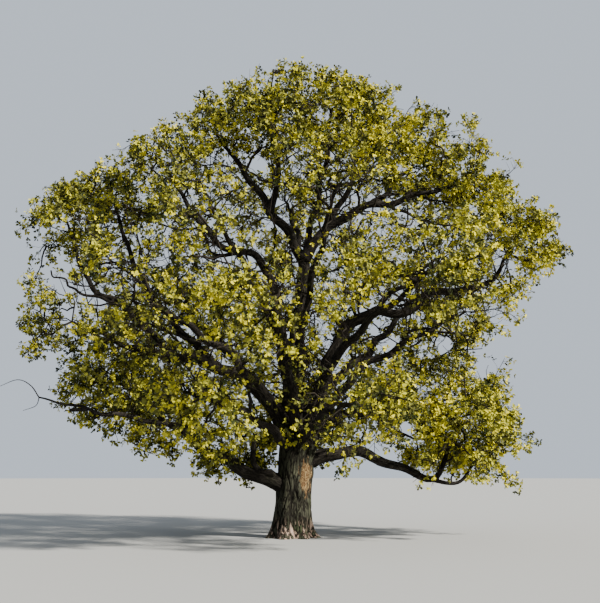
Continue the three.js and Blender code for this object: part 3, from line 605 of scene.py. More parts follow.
# Bark relief: furrows that run along the limb and fork, between plates.
reliefForm = {"stretch": 0.2, "bendScale": 0.35, "bendFrom": (7.3, 1.9, 4.1), "bendAlong": 0.4, "edge": 0.2}


def barkRelief(radius, angle, along, fine):
    around = Vector((math.cos(angle) * radius, math.sin(angle) * radius, along * reliefForm["stretch"])) * fine
    bend = noise.noise(around * reliefForm["bendScale"] + Vector(reliefForm["bendFrom"]))
    cut = noise.noise(around + Vector((bend, -bend, reliefForm["bendAlong"] * bend)))
    plate = min(1, abs(cut) / reliefForm["edge"])
    return 1 - plate * plate * (3 - 2 * plate)


trunkLook = {
    "sides": 216, "rings": 120, "footRings": 1.15, "domeHeight": 0.35, "domeFrom": 0.93,
    "furrowDepth": 0.05, "fine": 4.6, "lump": 0.05, "lumpFine": 1.1, "lumpRound": 1.3, "smoothFoot": 0.12,
    "domeTip": 0.0004,
    "burls": [(-1.2, 2.1, 0.16, 0.35), (-0.4, 3.0, 0.12, 0.3), (-2.3, 1.3, 0.12, 0.4), (0.9, 2.4, 0.15, 0.35),
              (2.4, 2.2, 0.15, 0.4), (-1.75, 3.9, 0.14, 0.4), (-0.9, 0.9, 0.1, 0.3)],
}


def trunkSurface(share, angle):
    look = trunkLook
    body = min(1, share / look["domeFrom"]) ** look["footRings"]
    dome = max(0, (share - look["domeFrom"]) / (1 - look["domeFrom"]))
    z = body * trunkForm["height"]
    radius = trunkRadius(z, angle)
    way = Vector((math.cos(angle), math.sin(angle), 0))
    lump = noise.noise(way * look["lumpRound"] + up * z * look["lumpFine"]) * look["lump"]
    for turn, height, size, spread in look["burls"]:
        aside = math.remainder(angle - turn, 2 * math.pi) * radius
        lump += size * math.exp(-(aside ** 2 + (z - height) ** 2) / spread ** 2)
    depth = barkRelief(radius, angle, z, look["fine"])
    fade = min(1, z / look["smoothFoot"]) if z > 0 else 0
    radius += lump * fade - depth * look["furrowDepth"] * fade
    radius *= math.sqrt(max(look["domeTip"], 1 - dome ** 2))
    place = Vector(trunkAxis(z)) + way * radius + up * dome * look["domeHeight"]
    return place, way * radius + up * z, depth


trunkTube = straightTube(trunkLook["sides"], trunkLook["rings"])
trunkMesh = wrapped("bark_trunk", trunkTube, trunkSurface)
keepPiece("bark_trunk", trunkMesh, trunkBark, ["trunk"])
print("trunk made")


# A limb's rings: places along a line with directions that turn with it and never twist.
def ringPlaces(points):
    places = []
    side = None
    for i, point in enumerate(points):
        ahead, behind = points[min(i + 1, len(points) - 1)], points[max(i - 1, 0)]
        direction = Vector(ahead - behind).normalized()
        if side is None:
            side = direction.orthogonal().normalized()
        side = (side - direction * side.dot(direction)).normalized()
        places.append((Vector(point), side, direction.cross(side)))
    return places


limbLook = {
    "ringStep": 0.17, "furrowDepth": 0.07, "deepest": 0.035, "fine": 2.2, "finest": 14,
    "lump": 0.12, "lumpFine": 0.9, "lumpRound": 0.7, "leastSides": 12, "sideQuarters": 14,
}


def limbMesh(name, points, radiusAt, length, foot):
    look = limbLook
    rings = len(points) - 1
    places = ringPlaces(points)
    shape = straightTube(look["leastSides"] + 4 * round(foot * look["sideQuarters"]), rings)
    fine = min(look["finest"], look["fine"] / foot)

    def surface(share, angle):
        point, side, across = places[round(share * rings)]
        along = share * length
        radius = radiusAt(along)
        way = side * math.cos(angle) + across * math.sin(angle)
        lump = noise.noise(point * look["lumpFine"] + way * look["lumpRound"]) * look["lump"] * radius
        depth = barkRelief(radius, angle, along, fine)
        radius += lump - depth * min(look["deepest"], look["furrowDepth"] * radius)
        grain = Vector((math.cos(angle) * radius, math.sin(angle) * radius, along))
        return point + way * radius, grain, depth

    return wrapped(name, shape, surface)


for name, form in boughForms.items():
    limb, foot = limbs[name], form[2]
    route, end = limb["route"], limb["end"]
    rings = math.ceil(end / limbLook["ringStep"])
    points = [route.at(min(1, i / rings * end / route.walked)) for i in range(rings + 1)]
    mesh = limbMesh("bark_" + name, points, limb["radiusAt"], end, foot)
    keepPiece("bark_" + name, mesh, shadedBoughBark, ["bough_" + name])
print("boughs made")


# The bare dead limb, with its thin hooked end and broken stub.
deadForm = {
    "from": "left_low", "at": 0.72, "foot": 0.13, "tip": 0.035, "end": (-12.1, -1.7, 6.6), "step": 0.08,
    "sunk": 0.02, "seed": 3, "sideSeed": 5,
    "knees": [(-8.2, -2.3, 5.7), (-9.3, -2.1, 5.95), (-10.4, -1.9, 6.15), (-11.4, -1.8, 6.45)],
    "sidePieces": [
        (1.0, [(-12.5, -1.7, 7.15), (-13.2, -1.7, 7.4), (-14.1, -1.7, 7.1)], 0.034, 0.01),
        (1.0, [(-12.2, -1.8, 6.2), (-12.75, -1.9, 5.95)], 0.024, 0.01),
        (0.62, [(-10.5, -2.1, 5.95)], 0.1, 0.08),
    ],
}
deadStart, deadBuried = startOf(deadForm["from"], deadForm["at"], deadForm["knees"][0], deadForm["foot"])
deadRoute = Route([deadStart, *deadForm["knees"], deadForm["end"]], deadForm["seed"])
deadRadius = limbRadius(deadForm["foot"], deadForm["tip"], deadRoute.walked, deadBuried)


# A thin limb narrows from its foot to its tip: evenly at a power of 1, and sooner below it.
def thinRadius(route, foot, tip, power):
    return lambda along: foot + (tip - foot) * (along / route.walked) ** power


def thinMesh(name, route, radiusAt, foot, step):
    rings = max(3, math.ceil(route.walked / step))
    points = [route.at(i / rings) for i in range(rings + 1)]
    return limbMesh(name, points, radiusAt, route.walked, foot)


# Several closed shapes as one piece.
def joinedShape(name, meshes):
    shape = bmesh.new()
    for mesh in meshes:
        shape.from_mesh(mesh)
        bpy.data.meshes.remove(mesh)
    return smoothMesh(name, shape)


deadMeshes = [thinMesh("dead_0", deadRoute, deadRadius, deadForm["foot"], deadForm["step"])]
for index, (share, knees, foot, tip) in enumerate(deadForm["sidePieces"]):
    start, _ = walk(deadRoute.line, share * deadRoute.walked - deadForm["sunk"])
    route = Route([start, *knees], deadForm["sideSeed"])
    radiusAt = thinRadius(route, foot, tip, 1)
    deadMeshes.append(thinMesh(f"dead_{index + 1}", route, radiusAt, foot, deadForm["step"]))
keepPiece("dead_wood", joinedShape("dead_wood", deadMeshes), deadWood, ["dead_limb"])
print("dead limb made")

# Side limbs that show from the open side, from the nearest bough on: how far back they start and end, their
# radii there, and their way as places in the trunk's plane. The spur at the left is bare and broken.
sideLimbs = {
    "left_spur": (-0.8, -0.7, 0.1, 0.04, [
        (-9.2, 11.6), (-9.8, 11.8), (-10.6, 11.95), (-11.1, 12.35), (-11.45, 12.45), (-11.6, 12.75),
        (-12.0, 12.85), (-12.3, 12.9), (-12.4, 13.25)]),
    "right_fork": (0.0, -0.6, 0.17, 0.05, [(4.6, 11.6), (5.3, 12.2), (6.1, 12.7), (6.9, 13.4), (7.8, 14.2)]),
    "right_drop": (-0.6, -1.0, 0.1, 0.035, [(5.3, 16.5), (5.9, 16.35), (7.0, 15.9), (8.2, 15.8)]),
    "right_rise": (-0.5, -0.9, 0.11, 0.035, [(4.0, 16.8), (4.8, 17.3), (5.7, 17.4), (7.2, 17.1), (8.2, 16.9)]),
    "right_under": (-0.6, -1.2, 0.06, 0.03, [(3.2, 15.2), (3.7, 15.9), (4.9, 16.2), (5.8, 15.9)]),
    "right_arm": (0.0, 0.8, 0.1, 0.03, [(1.9, 16.2), (2.1, 17.2), (2.7, 17.9), (3.5, 18.1), (4.9, 18.5)]),
    "right_bow": (0.8, 1.4, 0.08, 0.03, [(1.8, 18.0), (2.7, 18.6), (3.8, 18.7), (4.7, 18.2)]),
    "crest_arm": (1.2, 1.6, 0.09, 0.03, [(1.9, 19.3), (2.1, 20.5), (2.5, 21.5), (3.1, 22.2)]),
    "left_loop": (-0.4, 0.2, 0.13, 0.04, [
        (-2.5, 14.3), (-3.6, 14.0), (-4.2, 14.3), (-4.4, 14.9), (-4.9, 15.4), (-5.9, 15.5), (-6.9, 15.7)]),
    "left_bow": (-0.4, -0.7, 0.07, 0.03, [(-3.0, 14.7), (-3.9, 14.7), (-4.9, 14.2)]),
    "left_arm": (0.6, 1.0, 0.12, 0.035, [(-7.0, 11.9), (-7.8, 12.7), (-8.8, 13.3), (-9.6, 13.4)]),
    "left_pole": (0.7, 0.4, 0.08, 0.03, [(-7.9, 13.3), (-7.9, 14.4), (-8.1, 15.4), (-7.9, 16.6)]),
    "left_reach": (-0.3, -1.6, 0.14, 0.04, [(-2.6, 8.8), (-3.4, 9.3), (-4.4, 9.6), (-6.0, 9.9), (-7.4, 10.6)]),
    "left_crotch": (0.8, 0.3, 0.1, 0.03, [(-1.3, 16.8), (-0.9, 17.6), (-1.0, 18.5), (-0.4, 19.3), (0.5, 19.8)]),
    "right_cross": (0.0, -1.0, 0.09, 0.03, [(3.1, 11.7), (4.2, 12.7), (5.3, 13.2), (6.6, 13.7)]),
    "right_low_arm": (-0.9, -1.4, 0.1, 0.035, [(5.6, 9.9), (6.9, 10.2), (8.2, 10.0), (9.3, 9.7)]),
    "upright_shoot": (-0.7, -1.1, 0.19, 0.11, [
        (-0.95, 3.05), (-1.5, 3.1), (-1.85, 3.5), (-1.9, 4.2), (-1.8, 5.0)]),
    "right_low_reach": (-0.4, -0.6, 0.13, 0.05, [(6.6, 2.75), (7.5, 2.6), (8.3, 2.75), (8.9, 3.4), (9.3, 4.3)]),
    "trunk_spike": (-0.9, -1.2, 0.09, 0.03, [(1.3, 4.4), (1.9, 4.9), (2.6, 5.1)]),
}
sideForm = {"step": 0.14, "power": 0.8, "seed": 211}


# The place that is seen at x and z in the trunk's plane, but lies this far back.
def inDepth(x, z, depth):
    return eye + (np.array([x, 0, z]) - eye) * (depth - eye[1]) / -eye[1]


# The points of every limb so far, up to where its wood ends.
def woodSoFar():
    for limb in limbs.values():
        line = limb["route"].line
        yield from line[:max(2, round(len(line) * limb["end"] / limb["route"].walked))]


sideMeshes = []
for index, (name, (near, far, foot, tip, way)) in enumerate(sideLimbs.items()):
    knees = [inDepth(x, z, depth) for (x, z), depth in zip(way, np.linspace(near, far, len(way)))]
    grown = np.array(list(woodSoFar()))
    start = grown[int(np.linalg.norm(grown - knees[0], axis=1).argmin())]
    route = Route([start, *knees], index + sideForm["seed"])
    radiusAt = thinRadius(route, foot, tip, sideForm["power"])
    sideMeshes.append(thinMesh(name, route, radiusAt, foot, sideForm["step"]))
    limbs[name] = {"route": route, "end": route.walked, "tip": tip, "radiusAt": radiusAt}
leafNodes = ["leaves_" + name for name in boughForms]
keepPiece("side_limbs", joinedShape("side_limbs", sideMeshes), shadedBoughBark, leafNodes)
print("side limbs made")


# The twigs and sprays of a mass. The strays are places past the crown's edge where no spray may end.
twigForm = {
    "perVolume": 0.16, "shell": (0.18, 0.82), "margin": 0.25, "balance": 0.3, "thin": 0.026, "pipe": 0.5,
    "sideFork": 1.25, "limbFork": 1.15, "stem": 2, "room": 0.6, "clear": 0.04,
}
sprayForm = {
    "perVolume": 0.36, "shell": (0.42, 1), "margin": 0.02, "length": 1.2, "range": (0.6, 2.0), "lean": 0.5,
    "spacing": 0.16, "highest": 24.8, "widest": 14.4, "strayReach": 0.55,
    "strays": [(-5.7, 23.4), (-8.6, 21.4), (2.7, 25.1), (11.4, 19.4), (14.3, 15.4)],
}


def limbStretches():
    for name, limb in limbs.items():
        count = max(1, round(limb["end"] / limbForm["ringStep"]))
        marks = [limb["end"] * i / count for i in range(count + 1)]
        points = pointsOn(limb["route"].line, marks)
        for i in range(count):
            yield name, (*points[i], *points[i + 1], limb["radiusAt"](marks[i]))


stretchNames, stretchRows = columns(limbStretches())


# Whether a straight stretch keeps clear of every limb but its own: its gaps to all their stretches at once.
def clearOfLimbs(a, b, radius, own=None):
    rows = stretchRows if own is None else stretchRows[stretchNames != own]
    c, d = rows[:, :3], rows[:, 3:6]
    u, v, w = b - a, d - c, a - c
    uu, uv, vv = u @ u, v @ u, np.einsum("ij,ij->i", v, v)
    uw, vw = w @ u, np.einsum("ij,ij->i", v, w)
    slant = np.maximum(uu * vv - uv * uv, 1e-9)
    s = np.clip((uv * vw - vv * uw) / slant, 0, 1)
    t = np.clip((uv * s + vw) / vv, 0, 1)
    s = np.clip((uv * t - uw) / uu, 0, 1)
    gaps = np.linalg.norm(w + u * s[:, None] - v * t[:, None], axis=1)
    return bool((gaps > rows[:, 6] + radius + twigForm["clear"]).all())


def anyDirection(random):
    while True:
        point = np.array([random() * 2 - 1, random() * 2 - 1, random() * 2 - 1])
        length = float(np.linalg.norm(point))
        if length <= 1:
            return point / length


# Even places in the shell of a mass: of several candidates, each time the one farthest from those so far.
def evenPlaces(own, rule, random, full=1.0):
    middle, reach = masses[own]
    count = round(full * rule["perVolume"] * reach ** 3 * massForm["flatness"] * math.pi * 4 / 3)
    places = []
    for _ in range(sampling["tries"]):
        if len(places) == count:
            break
        tried = []
        for _ in range(sampling["candidates"]):
            way = anyDirection(random)
            inner, outer = rule["shell"]
            offset = way * reach * (inner + (outer - inner) * random())
            tried.append(middle + offset * (1, 1, massForm["flatness"]))
        tried = np.array(tried)
        tried = tried[inMass(tried, own, rule["margin"]) & awayFromWindows(tried)]
        if not len(tried):
            continue
        if places:
            gaps = np.linalg.norm(tried[:, None] - np.array(places)[None], axis=2).min(axis=1)
            places.append(tried[int(gaps.argmax())])
        else:
            places.append(tried[0])
    return places


# Each place joins the wood, nearest first, where the way back along the wood stays short.
def growTwigs(stem, places, tip, own=None):
    nodes = [(point, i - 1, farApart(stem[0], point)) for i, point in enumerate(stem)]
    waiting = [[math.inf, -1, place] for place in places]

    def offer(index):
        point, _, way = nodes[index]
        for row in waiting:
            cost = farApart(point, row[2]) + twigForm["balance"] * way
            if cost < row[0] and clearOfLimbs(point, row[2], tip, own):
                row[:2] = cost, index

    for index in range(1, len(stem)):
        offer(index)
    while waiting:
        waiting.sort(key=lambda row: row[0])
        cost, parent, place = waiting.pop(0)
        if parent < 0:
            break
        nodes.append((place, parent, nodes[parent][2] + farApart(nodes[parent][0], place)))
        offer(len(nodes) - 1)
    return nodes


# Where a spray may leave the wood: its length comes near the right one, and it leans forward on its twig.
def baseFor(tip, nodes, used):
    best = None
    for point, parent, _ in nodes[2:]:
        start = nodes[parent][0]
        span = farApart(start, point)
        direction = (point - start) / span
        bases = point - np.outer(np.arange(0, span, sampling["step"]), direction)
        lengths = np.linalg.norm(tip - bases, axis=1)
        shortest, longest = sprayForm["range"]
        fit = (shortest <= lengths) & (lengths <= longest)
        if used:
            gaps = np.linalg.norm(bases[:, None] - np.array(used)[None], axis=2).min(axis=1)
            fit &= gaps >= sprayForm["spacing"]
        if not fit.any():
            continue
        forward = (tip - bases) @ direction / np.maximum(lengths, 0.01)
        costs = abs(lengths - sprayForm["length"]) + sprayForm["lean"] * (1 - forward)
        costs[~fit] = math.inf
        index = int(costs.argmin())
        if best is None or costs[index] < best[0]:
            best = (costs[index], bases[index])
    return best and best[1]


# Twigs, shoots and leaves are gathered as rows of numbers and joined into meshes at the end.
twigBones = []  # start, end, radius at start, radius at end
sprays = []  # base, tip, roll, the mass that it keeps to or None, fullness
crookRandom = np.random.default_rng(31)
crookForm = {"step": 0.42, "most": 5, "sway": 0.07, "fullLength": 1.2}


# A stretch of wood wanders a little on its way.
def addBone(start, end, first, last):
    length = farApart(start, end)
    steps = int(np.clip(round(length / crookForm["step"]), 1, crookForm["most"]))
    marks = np.linspace(0, 1, steps + 1)
    sway = crookRandom.normal(size=(steps + 1, 3)) * crookForm["sway"] * min(length, crookForm["fullLength"])
    sway[[0, -1]] = 0
    points = start + np.outer(marks, end - start) + sway
    radii = first + (last - first) * marks
    for i in range(steps):
        twigBones.append((points[i], points[i + 1], radii[i], radii[i + 1]))


# Thinner at every fork: the wood from node to node, from the first one that isn't part of a limb.
def addWood(nodes, firstNode, radii):
    for i in range(max(1, firstNode), len(nodes)):
        parent = nodes[i][1]
        start = radii[i] * twigForm["limbFork"]
        if parent >= firstNode:
            start = min(radii[parent], radii[i] * twigForm["sideFork"])
        addBone(nodes[parent][0], nodes[i][0], start, radii[i])


def carriedBy(nodes):
    carried = [1] * len(nodes)
    for i in range(len(nodes) - 1, 0, -1):
        carried[nodes[i][1]] += carried[i]
    return carried


# The twigs of a mass on its own stem, and its sprays.
def growMass(own, seed):
    random = seeded(seed * sampling["seedStep"])
    limb = limbs[own]
    line, end, length = limb["route"].line, limb["end"], limb["route"].walked
    stem = pointsOn(line, [end + (length - end) * i / twigForm["stem"] for i in range(twigForm["stem"] + 1)])
    nodes = growTwigs(stem, evenPlaces(own, twigForm, random), limb["tip"] * twigForm["room"])
    carried = carriedBy(nodes)
    radii = [max(twigForm["thin"], limb["tip"] * (c / carried[0]) ** twigForm["pipe"]) for c in carried]
    addWood(nodes, 0, radii)
    used = []
    for tip in evenPlaces(own, sprayForm, random, fullMass.get(own, 1.0)):
        base = baseFor(tip, nodes, used)
        roll = (random() - 0.5) * math.pi
        if base is not None:
            used.append(base)
            sprays.append((base, tip, roll, own, 1.0))


# How full some of the masses are, where that isn't one.
fullMass = {
    "left_low": 1.5, "back_right_low": 1.25, "front_right_mid": 1.5, "front_mid": 1.3, "right_low": 1.35,
    "back_low": 1.1, "right_high": 1.25, "back_mid": 0.8, "back_high": 0.8, "back_left_mid": 0.8,
    "back_right_mid": 0.8, "left_mid": 0.7, "front_left_low": 0.75, "right_mid": 0.75, "far_left_high": 0.8,
    "front_right_high": 0.8, "left_shoulder": 0.85,
}
for name, form in boughForms.items():
    growMass(name, form[3])
print("masses grown:", len(sprays), "sprays on", len(twigBones), "stretches of twig")


# Side limbs leave the boughs inside the crown and fork as the twigs do. The lowest boughs stay bare for longer.
innerForm = {
    "perMetre": 1.25, "stemStep": 0.6, "from": 0.26, "aside": (0.8, 3.1), "rise": 0.45, "seed": 77,
    "later": {"left_low": 0.55, "right_low": 0.66, "right_arch": 0.5, "front_left_low": 0.4, "left_spur": 1,
              "right_cross": 0.5, "right_fork": 0.5, "left_loop": 0.4},
    "tries": 3, "forward": 0.4, "apart": 0.7, "room": 0.05, "thick": 0.036, "share": 0.6, "lowest": 3.4,
    "sprays": (1, 3), "length": (0.8, 1.6), "turn": 0.75, "leaveFrom": 0.55, "roll": 1.5,
    "fuller": {"right_high": 1.5, "far_right_high": 1.2, "right_mid": 1.2},
}
innerRandom = np.random.default_rng(innerForm["seed"])


def growInner(name, limb):
    line, end = limb["route"].line, limb["end"]
    begin = innerForm["later"].get(name, innerForm["from"]) * end
    marks = np.arange(begin, end, innerForm["stemStep"])
    if len(marks) < 2:
        return
    stem = pointsOn(line, marks)
    count = round((end - begin) * innerForm["perMetre"] * innerForm["fuller"].get(name, 1))
    places = []
    for _ in range(count * innerForm["tries"]):
        point, direction = walk(line, float(innerRandom.uniform(begin, end)))
        way = innerRandom.normal(size=3)
        way -= direction * (way @ direction)
        way = way / np.linalg.norm(way) + direction * innerForm["forward"] + upward * innerForm["rise"]
        place = point + way / np.linalg.norm(way) * innerRandom.uniform(*innerForm["aside"])
        near = places and np.linalg.norm(np.array(places) - place, axis=1).min() < innerForm["apart"]
        if place[2] > innerForm["lowest"] and not near and awayFromWindows(place)[0]:
            places.append(place)
        if len(places) == count:
            break
    nodes = growTwigs(stem, places, innerForm["room"], name)
    carried = carriedBy(nodes)
    thickest = limb["radiusAt"](float(begin)) * innerForm["share"]
    radii = [min(thickest, innerForm["thick"] * c ** twigForm["pipe"]) for c in carried]
    addWood(nodes, len(stem), radii)
    for point, parent, _ in nodes[len(stem):]:
        before = nodes[parent][0]
        direction = unit(point - before)
        for _ in range(innerRandom.integers(*innerForm["sprays"], endpoint=True)):
            way = unit(direction + innerRandom.normal(size=3) * innerForm["turn"])
            base = before + (point - before) * innerRandom.uniform(innerForm["leaveFrom"], 1)
            roll = innerRandom.uniform(-innerForm["roll"], innerForm["roll"])
            sprays.append((base, base + way * innerRandom.uniform(*innerForm["length"]), roll, None, 1.0))


for name, limb in limbs.items():
    growInner(name, limb)

# Where the crown is fuller, seen from the open side: the place in the trunk's plane, how far it spreads and how
# many side limbs end there. Each leaves the nearest wood.
fullPlaces = [
    (1.9, 13.3, 0.9, 3), (3.2, 13.0, 1.1, 4), (1.9, 9.8, 0.8, 3), (12.3, 15.4, 0.9, 3), (10.4, 16.9, 1.1, 3),
    (7.2, 17.5, 0.9, 4), (6.0, 17.9, 0.8, 2), (-0.6, 22.9, 1.0, 3), (0.6, 22.9, 1.1, 3), (2.4, 22.6, 1.2, 2),
    (-2.9, 22.0, 1.2, 2), (-0.2, 19.6, 0.8, 2), (-5.0, 10.3, 1.1, 3), (-4.4, 11.9, 1.0, 3), (5.2, 9.2, 1.1, 4),
    (-2.1, 9.1, 0.9, 2), (-10.6, 16.9, 0.9, 3), (-9.6, 6.7, 1.2, 3), (-11.0, 7.7, 0.8, 2), (8.9, 6.6, 1.0, 2),
    (2.9, 14.8, 0.8, 4), (-7.9, 15.7, 0.5, 2), (-4.9, 13.7, 0.5, 2), (-10.4, 18.3, 0.6, 2),
    (-4.6, 22.7, 0.5, 2), (9.4, 20.4, 0.6, 2), (-3.9, 4.4, 0.8, 5), (-5.2, 4.7, 0.9, 4), (-6.8, 5.0, 0.9, 3),
    (-12.6, 11.2, 0.5, 2), (-12.4, 9.6, 0.5, 2), (11.2, 12.6, 0.6, 2), (1.9, 15.0, 0.5, 1),
    (3.4, 13.6, 0.8, 4), (3.2, 12.4, 0.7, 3), (6.6, 8.4, 0.7, 3), (-12.1, 17.1, 0.5, 2), (-6.3, 15.4, 0.4, 1),
    (-2.3, 4.0, 0.6, 5), (-3.8, 3.4, 0.6, 4), (8.2, 7.9, 0.5, 3), (9.8, 7.2, 0.6, 4), (10.1, 6.5, 0.5, 3),
    (10.2, 5.6, 0.5, 3), (9.9, 4.5, 0.4, 3), (9.7, 3.7, 0.4, 3), (9.0, 3.4, 0.4, 2), (7.6, 3.7, 0.5, 2),
    (7.0, 3.6, 0.3, 3), (9.6, 6.4, 0.6, 3), (-8.5, 10.2, 1.0, 5), (-6.8, 9.6, 0.9, 4), (-5.0, 11.0, 0.5, 2),
    (10.7, 17.3, 0.5, 3), (-11.4, 17.3, 0.5, 2), (-8.3, 19.0, 0.5, 1), (7.6, 19.0, 0.5, 2), (1.1, 9.6, 0.5, 2),
    (7.3, 7.9, 0.5, 3), (4.3, 14.2, 0.6, 3), (4.2, 12.6, 0.5, 2), (-6.6, 9.6, 0.5, 3), (-10.9, 6.5, 0.5, 2),
    (9.5, 10.3, 0.4, 2), (4.2, 14.1, 0.4, 2), (-7.3, 20.3, 0.4, 1), (-13.2, 17.0, 0.4, 3),
    (-12.5, 17.2, 0.4, 2), (-12.9, 13.0, 0.3, 1), (0.2, 23.9, 0.7, 3), (2.4, 23.7, 0.7, 3),
    (-2.0, 22.9, 0.5, 3), (4.4, 22.6, 0.6, 2), (-5.2, 15.8, 0.4, 2), (9.2, 15.9, 0.6, 2), (9.0, 17.4, 0.6, 3),
    (-5.8, 15.8, 0.6, 3), (2.7, 12.3, 0.5, 3), (-9.3, 9.5, 0.6, 3), (-7.6, 9.3, 0.6, 3), (-6.4, 9.2, 0.5, 2),
    (8.7, 9.4, 0.5, 3), (-10.8, 6.5, 0.5, 2), (4.4, 20.7, 0.6, 3), (-3.4, 17.2, 0.5, 2), (-1.9, 15.9, 0.5, 2),
    (-9.7, 14.2, 0.5, 2), (2.7, 14.1, 0.6, 3), (4.2, 12.6, 0.6, 3), (-6.3, 9.6, 0.6, 3), (-13.0, 17.2, 0.5, 2),
    (13.5, 14.3, 0.4, 3), (13.3, 15.4, 0.4, 2),
]
placesForm = {
    "bare": ("left_spur",), "depth": 0.62, "thick": 0.034, "foot": 0.05, "tipShare": 0.6, "woodStep": 0.4,
    "nearest": 0.2, "longest": 4.5, "sprays": (2, 3), "leaveFrom": 0.7, "length": (0.8, 1.5), "turn": 0.8,
    "roll": 1.5, "domeSpread": 0.6, "seed": 1234,
}
crown = {"middle": np.array([0, 0, 11.5]), "radii": np.array([14.2, 13.4, 13.3])}
placesRandom = np.random.default_rng(placesForm["seed"])
wood = [(start + end) / 2 for start, end, radius, _ in twigBones if radius > placesForm["thick"]]
for name, limb in limbs.items():
    if name not in placesForm["bare"]:
        wood += pointsOn(limb["route"].line, np.arange(1, limb["end"], placesForm["woodStep"]))
wood = np.array(wood)


# A side limb from the nearest wood to a place, with sprays at its end.
def growTo(tip):
    global wood
    gaps = np.linalg.norm(wood - tip, axis=1)
    base = wood[int(gaps.argmin())]
    if not awayFromWindows(tip)[0] or not placesForm["nearest"] < gaps.min() < placesForm["longest"]:
        return
    addBone(base, tip, placesForm["foot"], placesForm["thick"] * placesForm["tipShare"])
    wood = np.concatenate([wood, [(base + tip) / 2, tip]])
    for _ in range(placesRandom.integers(*placesForm["sprays"], endpoint=True)):
        way = unit(unit(tip - base) + placesRandom.normal(size=3) * placesForm["turn"])
        start = base + (tip - base) * placesRandom.uniform(placesForm["leaveFrom"], 1)
        end = start + way * placesRandom.uniform(*placesForm["length"])
        sprays.append((start, end, placesRandom.uniform(-placesForm["roll"], placesForm["roll"]), None, 1.0))


for x, z, spread, count in fullPlaces:
    for _ in range(count):
        turn, out = placesRandom.uniform(-math.pi, math.pi), spread * math.sqrt(placesRandom.random())
        target = np.array([x + math.cos(turn) * out, 0, z + math.sin(turn) * out])
        left = 1 - ((target - crown["middle"]) / crown["radii"]) ** 2 @ np.ones(3)
        if left > 0:
            depth = placesRandom.uniform(-1, 1) * placesForm["depth"] * crown["radii"][1] * math.sqrt(left)
            growTo(inDepth(target[0], target[2], depth))

# The crown is round from the sides too: places, how far each spreads, and how many side limbs end there.
domePlaces = [
    ((-1.5, -4.4, 18.8), 1.5, 6), ((1.7, -4.6, 19.0), 1.5, 6), ((-4.2, -4.6, 17.6), 1.4, 5),
    ((4.6, -4.6, 18.0), 1.4, 5), ((-0.5, -2.8, 21.3), 1.2, 3), ((2.2, 4.6, 20.6), 1.4, 6),
    ((-2.0, 4.8, 20.3), 1.4, 6), ((-5.4, 4.4, 18.0), 1.4, 5), ((5.4, 4.4, 18.4), 1.4, 5),
    ((-1.0, 8.6, 16.6), 1.4, 4), ((3.4, 7.6, 17.0), 1.4, 5), ((-4.6, 7.4, 16.8), 1.4, 4),
    ((3.0, 10.0, 11.6), 1.3, 4), ((-4.2, 10.0, 11.2), 1.3, 4), ((-3.2, -9.2, 12.0), 1.2, 3),
    ((3.2, -9.2, 12.4), 1.2, 4), ((9.2, 4.2, 11.4), 1.3, 4), ((-10.2, 4.0, 11.0), 1.3, 3),
    ((9.4, -4.4, 14.6), 1.3, 4), ((-9.4, -4.6, 13.6), 1.3, 3),
]
for middle, spread, count in domePlaces:
    for _ in range(count):
        growTo(np.array(middle) + placesRandom.normal(size=3) * spread * placesForm["domeSpread"])
print("sprays in fuller places too:", len(sprays))

# A tangle of thin shoots round the top of the trunk.
tangleForm = {
    "count": 170, "heights": (4.4, 8.6), "rise": (-0.2, 0.9), "onTrunk": 0.94, "inFork": 0.5,
    "length": (0.6, 1.5), "fullness": 0.8, "seed": 5,
}
tangleRandom = np.random.default_rng(tangleForm["seed"])
for _ in range(tangleForm["count"]):
    z = tangleRandom.uniform(*tangleForm["heights"])
    angle = tangleRandom.uniform(-math.pi, math.pi)
    way = np.array([math.cos(angle), math.sin(angle), tangleRandom.uniform(*tangleForm["rise"])])
    radius = trunkRadius(min(z, trunkForm["height"]), angle)
    out = tangleForm["onTrunk" if z < trunkForm["height"] else "inFork"]
    base = trunkAxis(z) + way * (1, 1, 0) * radius * out
    tip = base + unit(way) * tangleRandom.uniform(*tangleForm["length"])
    sprays.append((base, tip, 0, None, tangleForm["fullness"]))

# Sprays that end past the crown's edge are left off.
tips = np.array([spray[1] for spray in sprays])
strayGaps = np.linalg.norm(seenAt(tips)[:, None] - np.array(sprayForm["strays"]), axis=2).min(axis=1)
inCrown = (tips[:, 2] < sprayForm["highest"]) & (abs(tips[:, 0]) < sprayForm["widest"])
inCrown &= strayGaps > sprayForm["strayReach"]
sprays = [spray for spray, kept in zip(sprays, inCrown) if kept]
print("sprays in all:", len(sprays))

# A spray: fine twigs fill a flattened oval round its axis, and each has short shoots that end in a rosette.
fineForm = {
    "twigs": 7, "candidates": 5, "centre": 0.62, "oval": (0.55, 0.5, 0.36), "core": 0.35, "margin": 0.12,
    "lead": 0.8, "leave": (0.12, 0.97), "bendAt": 0.45, "bendSpread": 0.25, "axisSteps": 3, "axisSway": 0.05,
    "axisFoot": 0.026, "axisTip": 0.01, "foot": 0.011, "tip": 0.006, "straight": 0.55, "usual": 1.2,
    "growth": 1.2, "shoots": (0.4, 0.62, 0.82, 1.0), "shootLength": (0.1, 0.24), "shootTaper": 0.8,
    "spread": 1.1, "endSpread": 0.1, "rise": 0.15, "lowest": 0.7, "highest": 24.75, "widest": 14.5, "seed": 4711,
}
fineRandom = np.random.default_rng(fineForm["seed"])


# Of many places, those that lie farthest apart.
def spreadOut(places, count):
    kept = [0]
    gaps = np.linalg.norm(places - places[0], axis=1)
    for _ in range(min(count, len(places)) - 1):
        index = int(gaps.argmax())
        kept.append(index)
        gaps = np.minimum(gaps, np.linalg.norm(places - places[index], axis=1))
    return places[kept]


